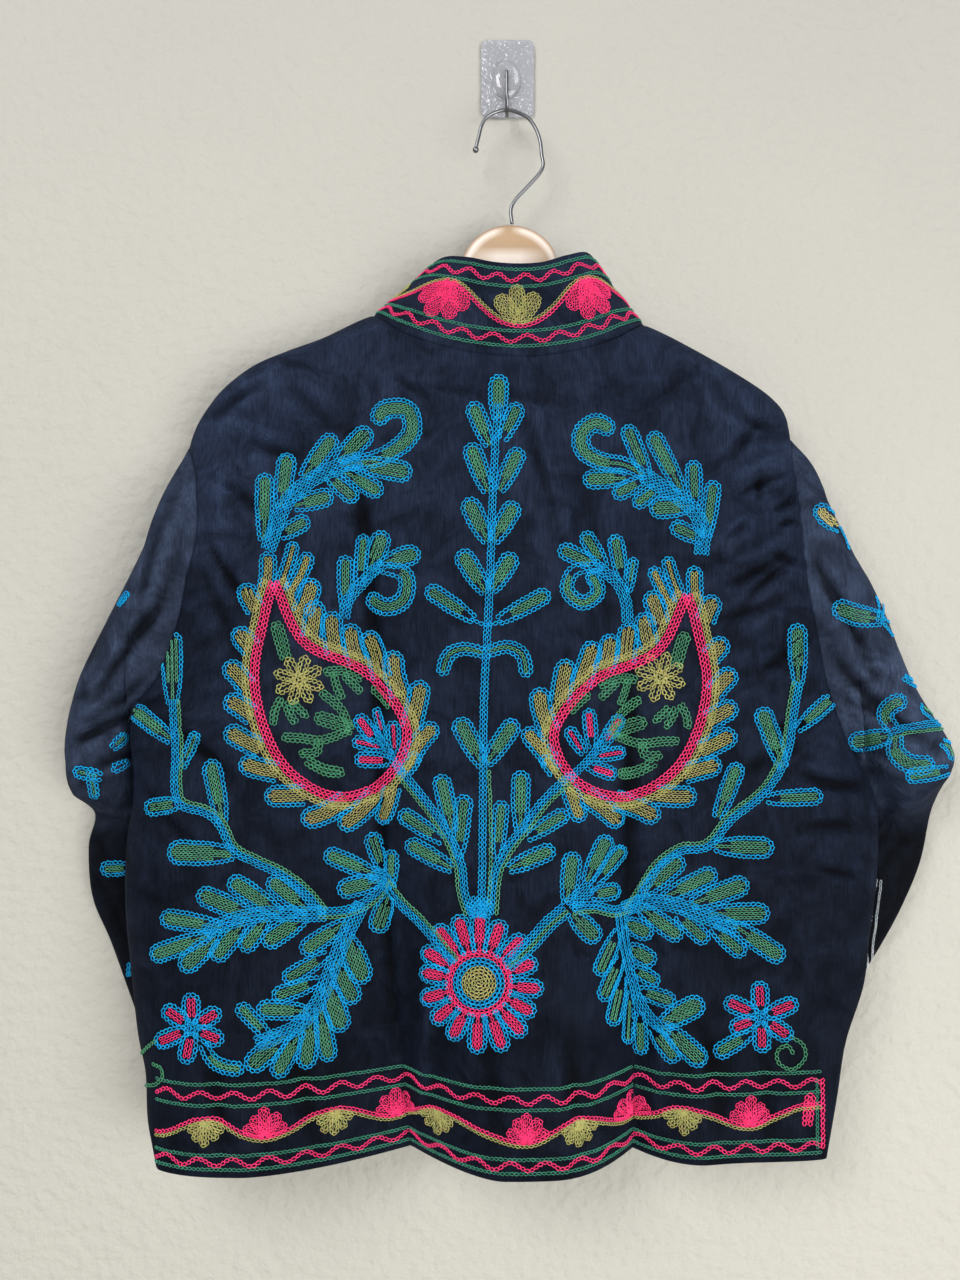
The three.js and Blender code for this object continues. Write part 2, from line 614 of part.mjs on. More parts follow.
const hookPath = [
  [-1, hookTop, 3],
  [-1, hookTop - 0.2, -12],
  [-1, hookTop - 0.6, -26],
  [-1, -13, -35],
  [-1, -18.5, -41],
  [-1, hookY, -42.8],
  [-1, -31.5, -40.5],
  [-1, -34.5, -35.5],
  [-1, -35.5, -31],
];
add("wall_hook", rod(hookPath, 1.5, 30, 10), 0xb9bcc0, 0.25, 1);

export default jacket;
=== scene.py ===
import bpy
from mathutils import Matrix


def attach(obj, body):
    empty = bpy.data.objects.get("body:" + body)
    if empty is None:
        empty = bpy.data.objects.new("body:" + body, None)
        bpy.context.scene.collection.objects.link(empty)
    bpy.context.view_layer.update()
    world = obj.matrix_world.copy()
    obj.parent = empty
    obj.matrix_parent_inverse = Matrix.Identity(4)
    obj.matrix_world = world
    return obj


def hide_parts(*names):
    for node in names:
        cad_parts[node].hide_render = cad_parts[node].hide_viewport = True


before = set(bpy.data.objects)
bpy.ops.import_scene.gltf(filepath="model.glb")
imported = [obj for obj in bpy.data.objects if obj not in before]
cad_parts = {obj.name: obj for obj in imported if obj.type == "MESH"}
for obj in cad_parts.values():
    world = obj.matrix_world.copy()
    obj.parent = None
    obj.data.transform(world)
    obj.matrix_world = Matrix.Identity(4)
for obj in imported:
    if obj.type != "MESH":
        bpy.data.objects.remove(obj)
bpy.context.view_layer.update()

import math
import bpy
import numpy as np
from mathutils import Vector
from mathutils.bvhtree import BVHTree

# ---------------------------------------------------------------- camera, wall and light
# A level camera stands in front of the wall, a little below the middle of the back. The jacket hangs on a
# pale painted wall of slightly uneven plaster, lit by two soft lamps, its paint lighter towards the bottom as
# a painted light. The wall shows only from its face, so that the part can be looked at from behind.
FRAME_WIDTH, FRAME_HEIGHT = 960, 1280
LENS, SENSOR = 30, 36                       # mm
FOCAL = LENS / SENSOR * FRAME_HEIGHT        # in picture units
EYE_MM = (-23.8, -923, -484.8)
EYE = [v / 1000 for v in EYE_MM]
camera_data = bpy.data.cameras.new("camera")
camera_data.sensor_fit = "VERTICAL"
camera_data.sensor_height = SENSOR
camera_data.lens = LENS
camera = bpy.data.objects.new("camera", camera_data)
camera.location = EYE
camera.rotation_euler = (math.pi / 2, 0, 0)
bpy.context.collection.objects.link(camera)
bpy.context.scene.camera = camera


def material(name, color, roughness=0.8, metallic=0.0, **sockets):
    """A principled material; sockets are set by their names, with underscores for spaces."""
    m = bpy.data.materials.new(name)
    m.use_nodes = True
    shader = m.node_tree.nodes["Principled BSDF"]
    shader.inputs["Base Color"].default_value = (*color, 1)
    shader.inputs["Roughness"].default_value = roughness
    shader.inputs["Metallic"].default_value = metallic
    for key, value in sockets.items():
        shader.inputs[key.replace("_", " ")].default_value = value
    m.diffuse_color = (*color, 1)
    return m, m.node_tree, shader


def node(tree, kind, links=(), **values):
    """A shader node; values set its properties or, where they name an input, that input."""
    n = tree.nodes.new(kind)
    for key, value in values.items():
        if hasattr(n, key):
            setattr(n, key, value)
        else:
            n.inputs[key.replace("_", " ")].default_value = value
    for socket, source in links:
        tree.links.new(source, n.inputs[socket])
    return n


def noise(tree, spot, scale, detail, **more):
    n = node(tree, "ShaderNodeTexNoise", [("Vector", spot)], Scale=scale, Detail=detail, **more)
    return n.outputs["Fac"]


def fit(tree, value, low, high, to_low=0.0, to_high=1.0):
    """Carries a value from one span to another."""
    n = node(tree, "ShaderNodeMapRange", [("Value", value)])
    for socket, number in zip(("From Min", "From Max", "To Min", "To Max"), (low, high, to_low, to_high)):
        n.inputs[socket].default_value = number
    return n.outputs["Result"]


def blend(tree, share, first, second):
    """Mixes two colours, each given as a colour or as a socket."""
    n = node(tree, "ShaderNodeMix", [("Factor", share)], data_type="RGBA")
    for slot, colour in ((6, first), (7, second)):
        if isinstance(colour, tuple):
            n.inputs[slot].default_value = (*colour, 1)
        else:
            tree.links.new(colour, n.inputs[slot])
    return n.outputs[2]


def bump(tree, shader, height, strength, distance, over=()):
    """Raises the surface by a height, and over another bump where that is given."""
    n = node(tree, "ShaderNodeBump", [("Height", height), *over], Strength=strength, Distance=distance)
    tree.links.new(n.outputs["Normal"], shader.inputs["Normal"])
    return n.outputs["Normal"]


wall_paint, tree, shader = material("painted_wall", (0.43, 0.42, 0.375), 0.9)
spot = node(tree, "ShaderNodeTexCoord").outputs["Object"]
height = node(tree, "ShaderNodeSeparateXYZ", [("Vector", spot)]).outputs["Y"]
# painted light: the paint is mixed lighter towards the bottom, besides its random unevenness
plaster_and_painted_light = node(tree, "ShaderNodeMix", [("A", noise(tree, spot, 4.0, 8.0)),
                                      ("B", fit(tree, height, 0.5, -0.8))], data_type="FLOAT", Factor=0.6)
paint = blend(tree, plaster_and_painted_light.outputs["Result"], (0.385, 0.375, 0.34), (0.475, 0.46, 0.405))
tree.links.new(paint, shader.inputs["Base Color"])
bump(tree, shader, noise(tree, spot, 85.0, 5.0), 0.6, 0.006)
side = node(tree, "ShaderNodeNewGeometry")
clear_back = node(tree, "ShaderNodeBsdfTransparent")
one_sided = node(tree, "ShaderNodeMixShader", [(0, side.outputs["Backfacing"]), (1, shader.outputs[0]),
                                               (2, clear_back.outputs[0])])
tree.links.new(one_sided.outputs[0], tree.nodes["Material Output"].inputs["Surface"])
ROOM = 7                                    # metres, the side of the wall and of the floor
bpy.ops.mesh.primitive_plane_add(size=ROOM, location=(0, 0.0012, -0.3), rotation=(math.pi / 2, 0, 0))
wall = bpy.context.object
wall.name = "backdrop_wall"
bpy.ops.mesh.primitive_plane_add(size=ROOM, location=(0, -3.5, -1.75))
floor = bpy.context.object
floor.name = "backdrop_floor"
for backdrop in (wall, floor):
    backdrop.data.materials.append(wall_paint)

world = bpy.data.worlds.new("studio")
bpy.context.scene.world = world
world.use_nodes = True
world.node_tree.nodes["Background"].inputs["Color"].default_value = (0.97, 0.985, 1.0, 1)
world.node_tree.nodes["Background"].inputs["Strength"].default_value = 0.47
LAMPS = [                                   # name, place, aim, size in metres, watts
    ("key", (-1.2, -2.2, 0.85), (0.1, 0, -0.9), 1.3, 54),
    ("fill", (1.2, -2.0, -1.2), (0.1, 0, -0.9), 1.8, 68)]
for name, place, aim, size, power in LAMPS:
    light_data = bpy.data.lights.new(name, "AREA")
    light_data.size = size
    light_data.energy = power
    light = bpy.data.objects.new(name, light_data)
    light.location = place
    light.rotation_euler = (Vector(aim) - Vector(place)).to_track_quat("-Z", "Y").to_euler()
    bpy.context.collection.objects.link(light)
bpy.context.scene.view_settings.view_transform = "Standard"

# ---------------------------------------------------------------- back panel
# One piece of black cotton twill from the shoulder seams and the neckline to the hem. It hangs flat over the
# shoulders and falls into two long folds, one sharp on the left of the middle and one soft on the right.
# The tables are the part's own named sizes, in millimetres.
SHOULDER = [                                # x, z
    (-268, -324), (-262, -309), (-256, -298), (-241, -278), (-228, -266), (-211, -254), (-185, -243),
    (-155, -232), (-115, -214), (-60, -202), (0, -200), (60, -205), (115, -222), (161, -245), (203, -270),
    (222, -284), (232, -297), (237, -317)]
BACK_NECK = [                               # x, z
    (-115, -214), (-91, -233), (-59, -248), (-28, -256), (7, -259.5), (41, -256), (72, -247), (95, -235),
    (115, -222)]
FRONT_NECK = [                              # x, z
    (-115, -214), (-108, -232), (-84, -260), (-45, -286), (0, -298), (45, -288), (84, -264), (108, -239),
    (115, -222)]
ROUND = [                                   # x, how far out, within what drop
    (0, 50, 58), (40, 47, 54), (70, 40, 46), (91, 33, 36), (115, 27, 26), (160, 23, 20), (210, 22, 18),
    (270, 18, 18)]
LEFT_SIDE = [                               # z, x, depth of the back, depth of the front
    (-324, -268, -27, -25), (-348, -258, -45, -12), (-375, -254, -55, -8), (-404, -254.5, -58, -8),
    (-431, -261, -58, -10), (-468, -269, -56, -15), (-511, -286, -50, -26), (-549, -312, -40, -40),
    (-604, -310, -39, -39), (-655, -316, -40, -40), (-700, -316, -42, -42), (-745, -311, -46, -46),
    (-804, -303, -50, -50), (-833, -296, -54, -54), (-871, -292, -62, -62), (-903, -281, -76, -76)]
RIGHT_SIDE = [                              # the same
    (-317, 237, -27, -25), (-340, 235, -42, -13), (-366, 235.5, -53, -8), (-402, 238.5, -57, -8),
    (-439, 242, -58, -10), (-480, 251, -56, -14), (-526, 262, -50, -24), (-572, 282, -40, -40),
    (-617, 304, -39, -39), (-678, 305, -39, -39), (-729, 298, -42, -42), (-769, 292, -45, -45),
    (-814, 276, -49, -49), (-856, 267, -55, -55), (-903, 256, -62, -62)]
HEM = [                                     # x, y
    (-281, -90), (-250, -93), (-80, -97), (10, -100), (60, -95), (110, -84), (180, -71), (256, -68)]
FOLDS = [                                   # x at the hem, half way and the top, depth, reach to the left and
    (-81, -101, -126, 57, 130, 75, 1.5, 1.9),           # to the right, sharpness, how late it deepens
    (102, 99, 97, 42, 66, 58, 1.9, 1.7)]
HEM_Z, HOOK_Y, CLOTH = -903, -26, 1.2       # the hem's height, the hanger's depth and the cloth's thickness
FALL_FROM, FOLDS_FROM = -260, -430          # where the cloth leaves the hanger and where the folds begin
LEFT_END, RIGHT_END, NECK_HALF = -268, 237, 115      # x of the shoulders' ends and of the collar's sides
BACK_SIDE_ROUND, FRONT_SIDE_ROUND = 55, 34  # width over which a panel turns into the side seam
UNDERARM = (-549, -572)                     # height of the left and the right armhole's lower end


def read(rows, at, column=1):
    """Smooth reading of a table: cubic between its rows, with slopes taken over the neighbours."""
    t = np.array(rows, float)
    if t[-1, 0] < t[0, 0]:
        t = t[::-1]
    k, v = t[:, 0], t[:, column]
    slope = np.empty(len(k))
    slope[1:-1] = (v[2:] - v[:-2]) / (k[2:] - k[:-2])
    slope[0] = (v[1] - v[0]) / (k[1] - k[0])
    slope[-1] = (v[-1] - v[-2]) / (k[-1] - k[-2])
    at = np.clip(np.asarray(at, float), k[0], k[-1])
    i = np.clip(np.searchsorted(k, at, side="right") - 1, 0, len(k) - 2)
    h = k[i + 1] - k[i]
    s = (at - k[i]) / h
    return ((2 * s**3 - 3 * s**2 + 1) * v[i] + (s**3 - 2 * s**2 + s) * h * slope[i]
            + (3 * s**2 - 2 * s**3) * v[i + 1] + (s**3 - s**2) * h * slope[i + 1])


def smooth(v):
    v = np.clip(v, 0, 1)
    return v * v * (3 - 2 * v)


def round_off(v):
    return np.sqrt(np.maximum(1 - (1 - np.clip(v, 0, 1)) ** 2, 0))


def lerp(a, b, t):
    return a + (b - a) * t


def follow(places, at, stations=None):
    """Smooth reading of a row of places, each coordinate by itself."""
    stations = range(len(places)) if stations is None else stations
    return np.stack([read(list(zip(stations, places[:, c])), at) for c in range(places.shape[1])], -1)


def lengths(path):
    """The length run so far at each place of a path."""
    return np.concatenate([[0], np.cumsum(np.linalg.norm(np.diff(path, axis=0), axis=1))])


def side_x(x, z):
    return np.where(x < 0, read(LEFT_SIDE, z), read(RIGHT_SIDE, z))


def edge_depth(x, z, column):
    """Depth of a panel's side edge: its own along the armhole, and shared with the other panel below."""
    sides = []
    for side, under in ((LEFT_SIDE, UNDERARM[0]), (RIGHT_SIDE, UNDERARM[1])):
        own = read(side, z, column)
        both = (read(side, z, 2) + read(side, z, 3)) / 2
        sides.append(np.where(z > under, own, both))
    return np.where(x < 0, *sides)


def creases(x, z, rows):
    """Creases, each from one place to another with its own depth and width, deepest midway."""
    total = np.zeros(np.broadcast(x, z).shape)
    for x0, z0, x1, z1, depth, width, bow in rows:
        dx, dz = x1 - x0, z1 - z0
        size = math.hypot(dx, dz)
        t = ((x - x0) * dx + (z - z0) * dz) / size**2
        off = ((x - x0) * dz - (z - z0) * dx) / size - bow * 4 * t * (1 - t)
        along = np.where((t > 0) & (t < 1), np.sin(np.pi * np.clip(t, 0, 1)) ** 0.8, 0)
        crest = np.exp(0.35 - np.sqrt((off / width) ** 2 + 0.12))       # sharp, with a hollow on each side
        hollows = np.exp(-((off / width - 1.9) ** 2)) + np.exp(-((off / width + 1.9) ** 2))
        total += depth * along * (crest - 0.35 * hollows)
    return total


def back_depth(x, z):
    """The back without its creases: round over the hanger, then falling to the hem in its two long folds."""
    below = np.maximum(read(SHOULDER, x) - z, 0)
    out, drop = read(ROUND, np.abs(x), 1), read(ROUND, np.abs(x), 2)
    down = np.clip((FALL_FROM - z) / (FALL_FROM - HEM_Z), 0, 1)
    y = HOOK_Y - out * round_off(below / drop) - (-read(HEM, x) + HOOK_Y - out) * down**0.85
    for hem_x, up_x, top_x, depth, left, right, power, rise in FOLDS:
        t = np.clip((FOLDS_FROM - z) / (FOLDS_FROM - HEM_Z), 0, 1)
        fx = np.where(t > 0.5, lerp(up_x, hem_x, (t - 0.5) * 2), lerp(top_x, up_x, t * 2))
        across = np.where(x < fx, (fx - x) / left, (x - fx) / right)
        y = y + depth * t**rise * (1 - np.clip(across, 0, 1)) ** power
    edge = np.abs(x - side_x(x, z))
    return lerp(edge_depth(x, z, 2), y, round_off(edge / BACK_SIDE_ROUND))


BACK_CREASES = [                            # x and z of both ends, depth towards the wall, half width, bow
    (-232, -302, -176, -322, -1.5, 4, 3), (-214, -322, -166, -334, 1.5, 3.5, 3),
    (-250, -345, -168, -420, 1.5, 4.5, -6), (-251, -392, -196, -470, 1.6, 3.5, 4),
    (-254, -425, -214, -520, 1.2, 5, -5), (-196, -272, -245, -305, 1.3, 3.5, 3),
    (-190, -262, -110, -330, 1.0, 5.5, 6), (-236, -330, -226, -400, -1.0, 4.5, 4),
    (-300, -545, -214, -604, 1.6, 4.5, -8), (-304, -590, -232, -660, 1.2, 4, 6),
    (-308, -680, -250, -700, 0.9, 5, 3), (-134, -276, -100, -600, 1.7, 5.5, -4),
    (-108, -470, -90, -830, 1.6, 4, 3), (-68, -280, -29, -286, 0.8, 2.5, 2),
    (-94, -268, -60, -292, 0.8, 3, 3), (100, -388, 98, -820, 1.3, 7, 3),
    (-62, -700, -74, -896, -1.2, 5.5, 0), (-168, -760, -150, -898, 1.2, 7, 6),
    (-238, -800, -226, -898, 1.0, 7, -4), (-20, -780, -8, -898, 0.8, 8, 0), (46, -770, 60, -898, 1.0, 6, 4),
    (9, -295, 42, -383, 0.9, 4.5, 4), (26, -330, 58, -420, -0.7, 4.5, 4), (60, -330, 92, -520, 0.9, 7.5, 6),
    (174, -359, 231, -334, -1.7, 3.5, -3), (182, -371, 235, -346, 1.9, 3, -3),
    (205, -352, 203, -374, 1.3, 2.5, 0), (165, -428, 231, -394, -1.6, 3.5, 4),
    (172, -441, 236, -405, 1.8, 3, 4), (192, -300, 222, -312, 1.2, 3.5, 3),
    (206, -306, 190, -332, 1.0, 3, 2), (176, -340, 196, -300, 0.9, 4.5, 4),
    (150, -470, 238, -440, 1.2, 4.5, 6), (187, -462, 242, -411, 1.5, 3.5, -4),
    (198, -556, 270, -544, 1.6, 3.5, 4), (196, -520, 250, -486, 1.2, 3.5, -4),
    (214, -380, 236, -366, 2.0, 2.5, 1), (216, -394, 237, -386, 1.7, 2.5, -1),
    (96, -300, 150, -262, 0.9, 5.5, 4), (230, -590, 296, -604, 1.6, 4.5, 5),
    (222, -640, 300, -640, 1.2, 4.5, -5), (240, -664, 292, -676, 1.2, 3, 3),
    (150, -600, 240, -560, 1.0, 7, 8), (150, -780, 168, -898, 1.0, 7.5, -5),
    (206, -800, 214, -898, 0.9, 7, 4), (126, -700, 118, -890, -1.0, 5, 0),
    (-40, -290, 40, -300, 0.7, 4.5, -6), (-92, -268, -60, -330, 0.8, 4.5, 4)]


chance = np.random.default_rng(7)


def wrinkle(x0, z0, way_x, way_z, runs, leans, depths, widths, bow):
    """A small crease that starts at a place. The rest is drawn by chance from the given spans."""
    run, lean = chance.uniform(*runs), chance.uniform(*leans)
    x1, z1 = x0 + way_x * run * math.cos(lean), z0 + way_z * run * math.sin(lean)
    depth = chance.choice([-1, 1]) * chance.uniform(*depths)
    return x0, z0, x1, max(z1, HEM_Z + 5), depth, chance.uniform(*widths), chance.uniform(-bow, bow)


for side_table, inward, under in ((LEFT_SIDE, 1, UNDERARM[0]), (RIGHT_SIDE, -1, UNDERARM[1])):
    for _ in range(24):                     # small ones that run in from the armhole
        z0 = chance.uniform(under - 40, -335)
        x0 = float(read(side_table, z0)) + inward * chance.uniform(2, 45)
        BACK_CREASES.append(wrinkle(x0, z0, inward, 1, (22, 70), (-0.9, 0.5), (0.35, 0.8), (2.5, 3.6), 4))
for _ in range(44):                         # and faint ones all over
    x0, z0 = chance.uniform(-235, 225), chance.uniform(-860, -300)
    BACK_CREASES.append(wrinkle(x0, z0, 1, 1, (30, 110), (-1.9, -1.0), (0.15, 0.4), (3, 6), 5))
BACK_RELIEF = 3.0                           # the back's creases stand this many times their depth


def back_face(x, z):
    """Depth of the visible cloth: the panel's form with its creases."""
    fade = round_off(np.abs(x - side_x(x, z)) / 12) * np.clip((HEM_Z - z) / -6, 0, 1)
    fade = np.where(z > HEM_Z + 6, 1, np.maximum(fade, 0.6))
    return back_depth(x, z) + BACK_RELIEF * creases(x, z, BACK_CREASES) * fade


def panel_points(columns, rows, left, right, top, depth, spot_ends):
    """Points of a panel: columns gives the places along its top edge, rows the shares of the way down."""
    share_left, share_right = rows
    spot = columns[None, :]
    u = (spot - LEFT_END) / (RIGHT_END - LEFT_END)
    z = lerp(top(spot), HEM_Z, lerp(share_left[:, None], share_right[:, None], u))
    t = (spot - spot_ends[0]) / (spot_ends[1] - spot_ends[0])
    x = lerp(left(z), right(z), t)
    return np.stack([x, depth(x, z), z], -1)


def side_shares(n_arm, n_seam):
    """Shares of the way down each side: the same number of rows along the armhole and along the side seam."""
    arm = np.linspace(0, 1, n_arm + 1) ** 1.5
    arm = lerp(arm, np.linspace(0, 1, n_arm + 1), 0.35)
    seam = np.linspace(0, 1, n_seam + 1)[1:]
    out = []
    for side, under in ((LEFT_SIDE, UNDERARM[0]), (RIGHT_SIDE, UNDERARM[1])):
        top = side[0][0]
        z = np.concatenate([lerp(top, under, arm), lerp(under, HEM_Z, seam)])
        out.append((z - top) / (HEM_Z - top))
    return out


def cloth_mesh(name, grid, thick, away, wrap=False, relief=0.0):
    """A thin closed shell on a grid of points in millimetres, thickened away from the given direction."""
    rows, cols = grid.shape[:2]
    across = np.roll(grid, -1, 1) - np.roll(grid, 1, 1)
    if not wrap:
        across[:, 0] = grid[:, 1] - grid[:, 0]
        across[:, -1] = grid[:, -1] - grid[:, -2]
    normal = np.cross(across, np.gradient(grid, axis=0))
    normal /= np.linalg.norm(normal, axis=-1, keepdims=True) + 1e-9
    if (normal * away).sum() < 0:
        normal = -normal
    points = np.concatenate([grid.reshape(-1, 3), (grid - normal * thick).reshape(-1, 3)]) / 1000
    n = rows * cols
    j, i = np.meshgrid(np.arange(rows - 1), np.arange(cols if wrap else cols - 1), indexing="ij")
    j, i = j.ravel(), i.ravel()
    k = (i + 1) % cols
    outer = np.stack([j * cols + i, j * cols + k, (j + 1) * cols + k, (j + 1) * cols + i], -1)
    i = np.arange(cols if wrap else cols - 1)
    k = (i + 1) % cols
    last = (rows - 1) * cols
    rims = [np.stack([i, i + n, k + n, k], -1),
            np.stack([last + i, last + k, last + k + n, last + i + n], -1)]
    if not wrap:
        j = np.arange(rows - 1) * cols
        rims.append(np.stack([j, j + cols, j + cols + n, j + n], -1))
        j = j + cols - 1
        rims.append(np.stack([j, j + n, j + cols + n, j + cols], -1))
    faces = np.concatenate([outer, outer[:, ::-1] + n] + rims)
    a, b, c, d = (points[faces[:, q]] for q in range(4))
    volume = (np.einsum("ij,ij->i", a, np.cross(b, c)) + np.einsum("ij,ij->i", a, np.cross(c, d))).sum()
    if volume < 0:
        faces = faces[:, ::-1]
    obj = mesh_object(name, points, faces)
    # relief is stored as painted light and shade: pale on crease crests, dark in their valleys
    painted_light_and_shade = obj.data.attributes.new("painted_light_and_shade", "FLOAT", "POINT")
    values = np.tile(np.broadcast_to(relief, (rows, cols)).ravel(), 2)
    painted_light_and_shade.data.foreach_set("value", values.astype(np.float32))
    return obj


def mesh_object(name, points, faces, colors=None):
    mesh = bpy.data.meshes.new(name)
    mesh.vertices.add(len(points))
    mesh.vertices.foreach_set("co", np.ascontiguousarray(points, np.float32).ravel())
    sides = faces.shape[1]
    mesh.loops.add(faces.size)
    mesh.loops.foreach_set("vertex_index", np.ascontiguousarray(faces, np.int32).ravel())
    mesh.polygons.add(len(faces))
    mesh.polygons.foreach_set("loop_start", np.arange(0, faces.size, sides, dtype=np.int32))
    mesh.polygons.foreach_set("use_smooth", np.ones(len(faces), bool))
    mesh.update(calc_edges=True)
    if colors is not None:
        layer = mesh.color_attributes.new("yarn", "FLOAT_COLOR", "POINT")
        layer.data.foreach_set("color", np.ascontiguousarray(colors, np.float32).ravel())
    mesh.validate()
    obj = bpy.data.objects.new(name, mesh)
    bpy.context.collection.objects.link(obj)
    return obj


def twill(name, deep, pale, fade):
    """Black cotton twill: very dark navy, with a fine weave, slubs and rumples. Painted light and shade:
    crease crests painted pale and valleys dark, rumples painted lighter and darker, and the cloth lighter
    higher up.

    fade gives two heights in metres and how bright the cloth is painted at each: painted light above, shade
    below.
    """
    cloth, tree, shader = material(name, deep, 0.72, Specular_IOR_Level=0.05, Sheen_Weight=0.02,
                                   Sheen_Roughness=0.5, Sheen_Tint=(0.35, 0.5, 1.0, 1))
    spot = node(tree, "ShaderNodeTexCoord").outputs["Object"]
    threads = node(tree, "ShaderNodeMapping", [("Vector", spot)], Scale=(900, 900, 60)).outputs["Vector"]
    slubs = noise(tree, threads, 1.0, 2.0)
    blotches = noise(tree, spot, 14.0, 5.0, Roughness=0.65)
    shade = node(tree, "ShaderNodeMath", [(0, blotches), (1, slubs)], operation="MULTIPLY")
    tint = node(tree, "ShaderNodeValToRGB", [("Fac", shade.outputs[0])])
    for stop, at, colour in zip(tint.color_ramp.elements, (0.12, 0.42), (deep, pale)):
        stop.position = at
        stop.color = (*colour, 1)
    # painted light and shade along the creases, read from the mesh
    painted_light_and_shade = node(tree, "ShaderNodeAttribute", attribute_name="painted_light_and_shade").outputs["Fac"]
    # the rumples are a bump, and the same noise paints the colour lighter and darker over them
    rumple = noise(tree, spot, 32.0, 6.0, Roughness=0.6, Distortion=0.8)
    # painted light by height: the cloth is made lighter towards the top, where light falls
    height = node(tree, "ShaderNodeSeparateXYZ", [("Vector", spot)]).outputs["Z"]
    painted_brightness = fit(tree, painted_light_and_shade, -1.1, 1.1, 0.25, 2.3)
    for more in (fit(tree, rumple, 0.38, 0.62, 0.55, 1.3), fit(tree, height, *fade)):
        painted_brightness = node(tree, "ShaderNodeMath", [(0, painted_brightness), (1, more)], operation="MULTIPLY").outputs[0]
    tone = node(tree, "ShaderNodeVectorMath", [(0, tint.outputs["Color"]), ("Scale", painted_brightness)],
                operation="SCALE")
    tree.links.new(tone.outputs["Vector"], shader.inputs["Base Color"])
    slant = node(tree, "ShaderNodeMapping", [("Vector", spot)], Rotation=(0, math.radians(40), 0))
    weave = node(tree, "ShaderNodeTexWave", [("Vector", slant.outputs["Vector"])], Scale=260.0,
                 Distortion=1.2, Detail=1.0)
    grain = node(tree, "ShaderNodeMath", [(0, weave.outputs["Fac"]), (1, slubs)], operation="ADD")
    woven = bump(tree, shader, grain.outputs[0], 0.4, 0.0003)
    bump(tree, shader, rumple, 0.8, 0.009, [("Normal", woven)])
    return cloth


# the black cotton is painted lighter higher up and darker towards the hem
cotton = twill("black_cotton_twill", (0.0035, 0.0058, 0.0125), (0.0105, 0.0155, 0.031),
               (-0.8, -0.28, 0.42, 1.1))


def shoulder_top(x):
    return read(SHOULDER, x)


def back_top(x):
    return np.where(np.abs(x) < NECK_HALF, read(BACK_NECK, x), shoulder_top(x))


def left_x(z):
    return read(LEFT_SIDE, z)


def right_x(z):
    return read(RIGHT_SIDE, z)


back_columns = np.unique(np.concatenate([np.linspace(LEFT_END, -250, 8), np.linspace(-250, 222, 168),
                                         np.linspace(222, RIGHT_END, 8)]))
back_grid = panel_points(back_columns, side_shares(84, 92), left_x, right_x, back_top, back_face,
                         (LEFT_END, RIGHT_END))
x, z = back_grid[..., 0], back_grid[..., 2]
# Painted light and shade on the back: crease crests pale, valleys dark.
back_painted_light_and_shade = -creases(x, z, BACK_CREASES)
back_painted_light_and_shade += 0.55 * smooth((np.abs(x) - 120) / 100) * smooth((z + 470) / 150)      # a painted highlight on the shoulders too
back = cloth_mesh("cloth_back", back_grid, CLOTH, np.array([0, -1, 0]), relief=back_painted_light_and_shade)
back.data.materials.append(cotton)
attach(back, "root")
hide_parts("back_panel")

# ---------------------------------------------------------------- fronts
# Two pieces of the same twill, joined to the back at the shoulders and the sides and open down the middle.
# They hang between the hanger and the wall, with room at the sides for the forearms.
FRONT_CREASES = [                           # x and z of both ends, depth, half width, bow
    (-230, -290, -150, -380, 1.6, 9, 6), (-60, -320, -90, -560, 1.4, 11, -6),
    (-20, -420, -34, -760, 1.2, 10, 5), (-120, -640, -100, -890, 1.6, 12, 6),
    (60, -330, 96, -600, 1.3, 11, 6), (30, -500, 24, -860, 1.1, 9, -4), (150, -300, 214, -360, 1.5, 9, -5),
    (124, -650, 104, -890, 1.5, 12, -5), (180, -700, 190, -880, 1.1, 10, 3)]
FRONT_OUT, FRONT_DROP = 21, 18              # how far the front stands off the hanger, and within what drop
FOREARM_ROOM = 28                           # how far its sides give way to the forearms


def front_depth(x, z):
    below = np.maximum(read(SHOULDER, x) - z, 0)
    room = FOREARM_ROOM * smooth((np.abs(x) - NECK_HALF) / 70) * smooth((-500 - z) / 110)
    y = HOOK_Y + FRONT_OUT * round_off(below / FRONT_DROP) - 4 * smooth((-300 - z) / 400) - room
    edge = np.abs(x - side_x(x, z))
    return lerp(edge_depth(x, z, 3), y, round_off(edge / FRONT_SIDE_ROUND))


def front_face(x, z):
    fade = round_off(np.abs(x - side_x(x, z)) / 20)
    return front_depth(x, z) - np.abs(creases(x, z, FRONT_CREASES)) * fade


def front_top(x):
    return np.where(np.abs(x) < NECK_HALF, read(FRONT_NECK, x), shoulder_top(x))


MIDDLE = 5                                  # each front stops this far from the middle
for name, spots, left, right in [
    ("front_left", np.linspace(LEFT_END, -MIDDLE, 44), left_x, lambda z: -MIDDLE + 0 * z),
    ("front_right", np.linspace(MIDDLE, RIGHT_END, 40), lambda z: MIDDLE + 0 * z, right_x),
]:
    grid = panel_points(spots, side_shares(32, 32), left, right, front_top, front_face, (spots[0], spots[-1]))
    # painted light along the fronts' creases
    relief = np.abs(creases(grid[..., 0], grid[..., 2], FRONT_CREASES))
    piece = cloth_mesh("cloth_" + name, grid, CLOTH, np.array([0, 1, 0]), relief=relief)
    piece.data.materials.append(cotton)
    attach(piece, "root")
    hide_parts(name)

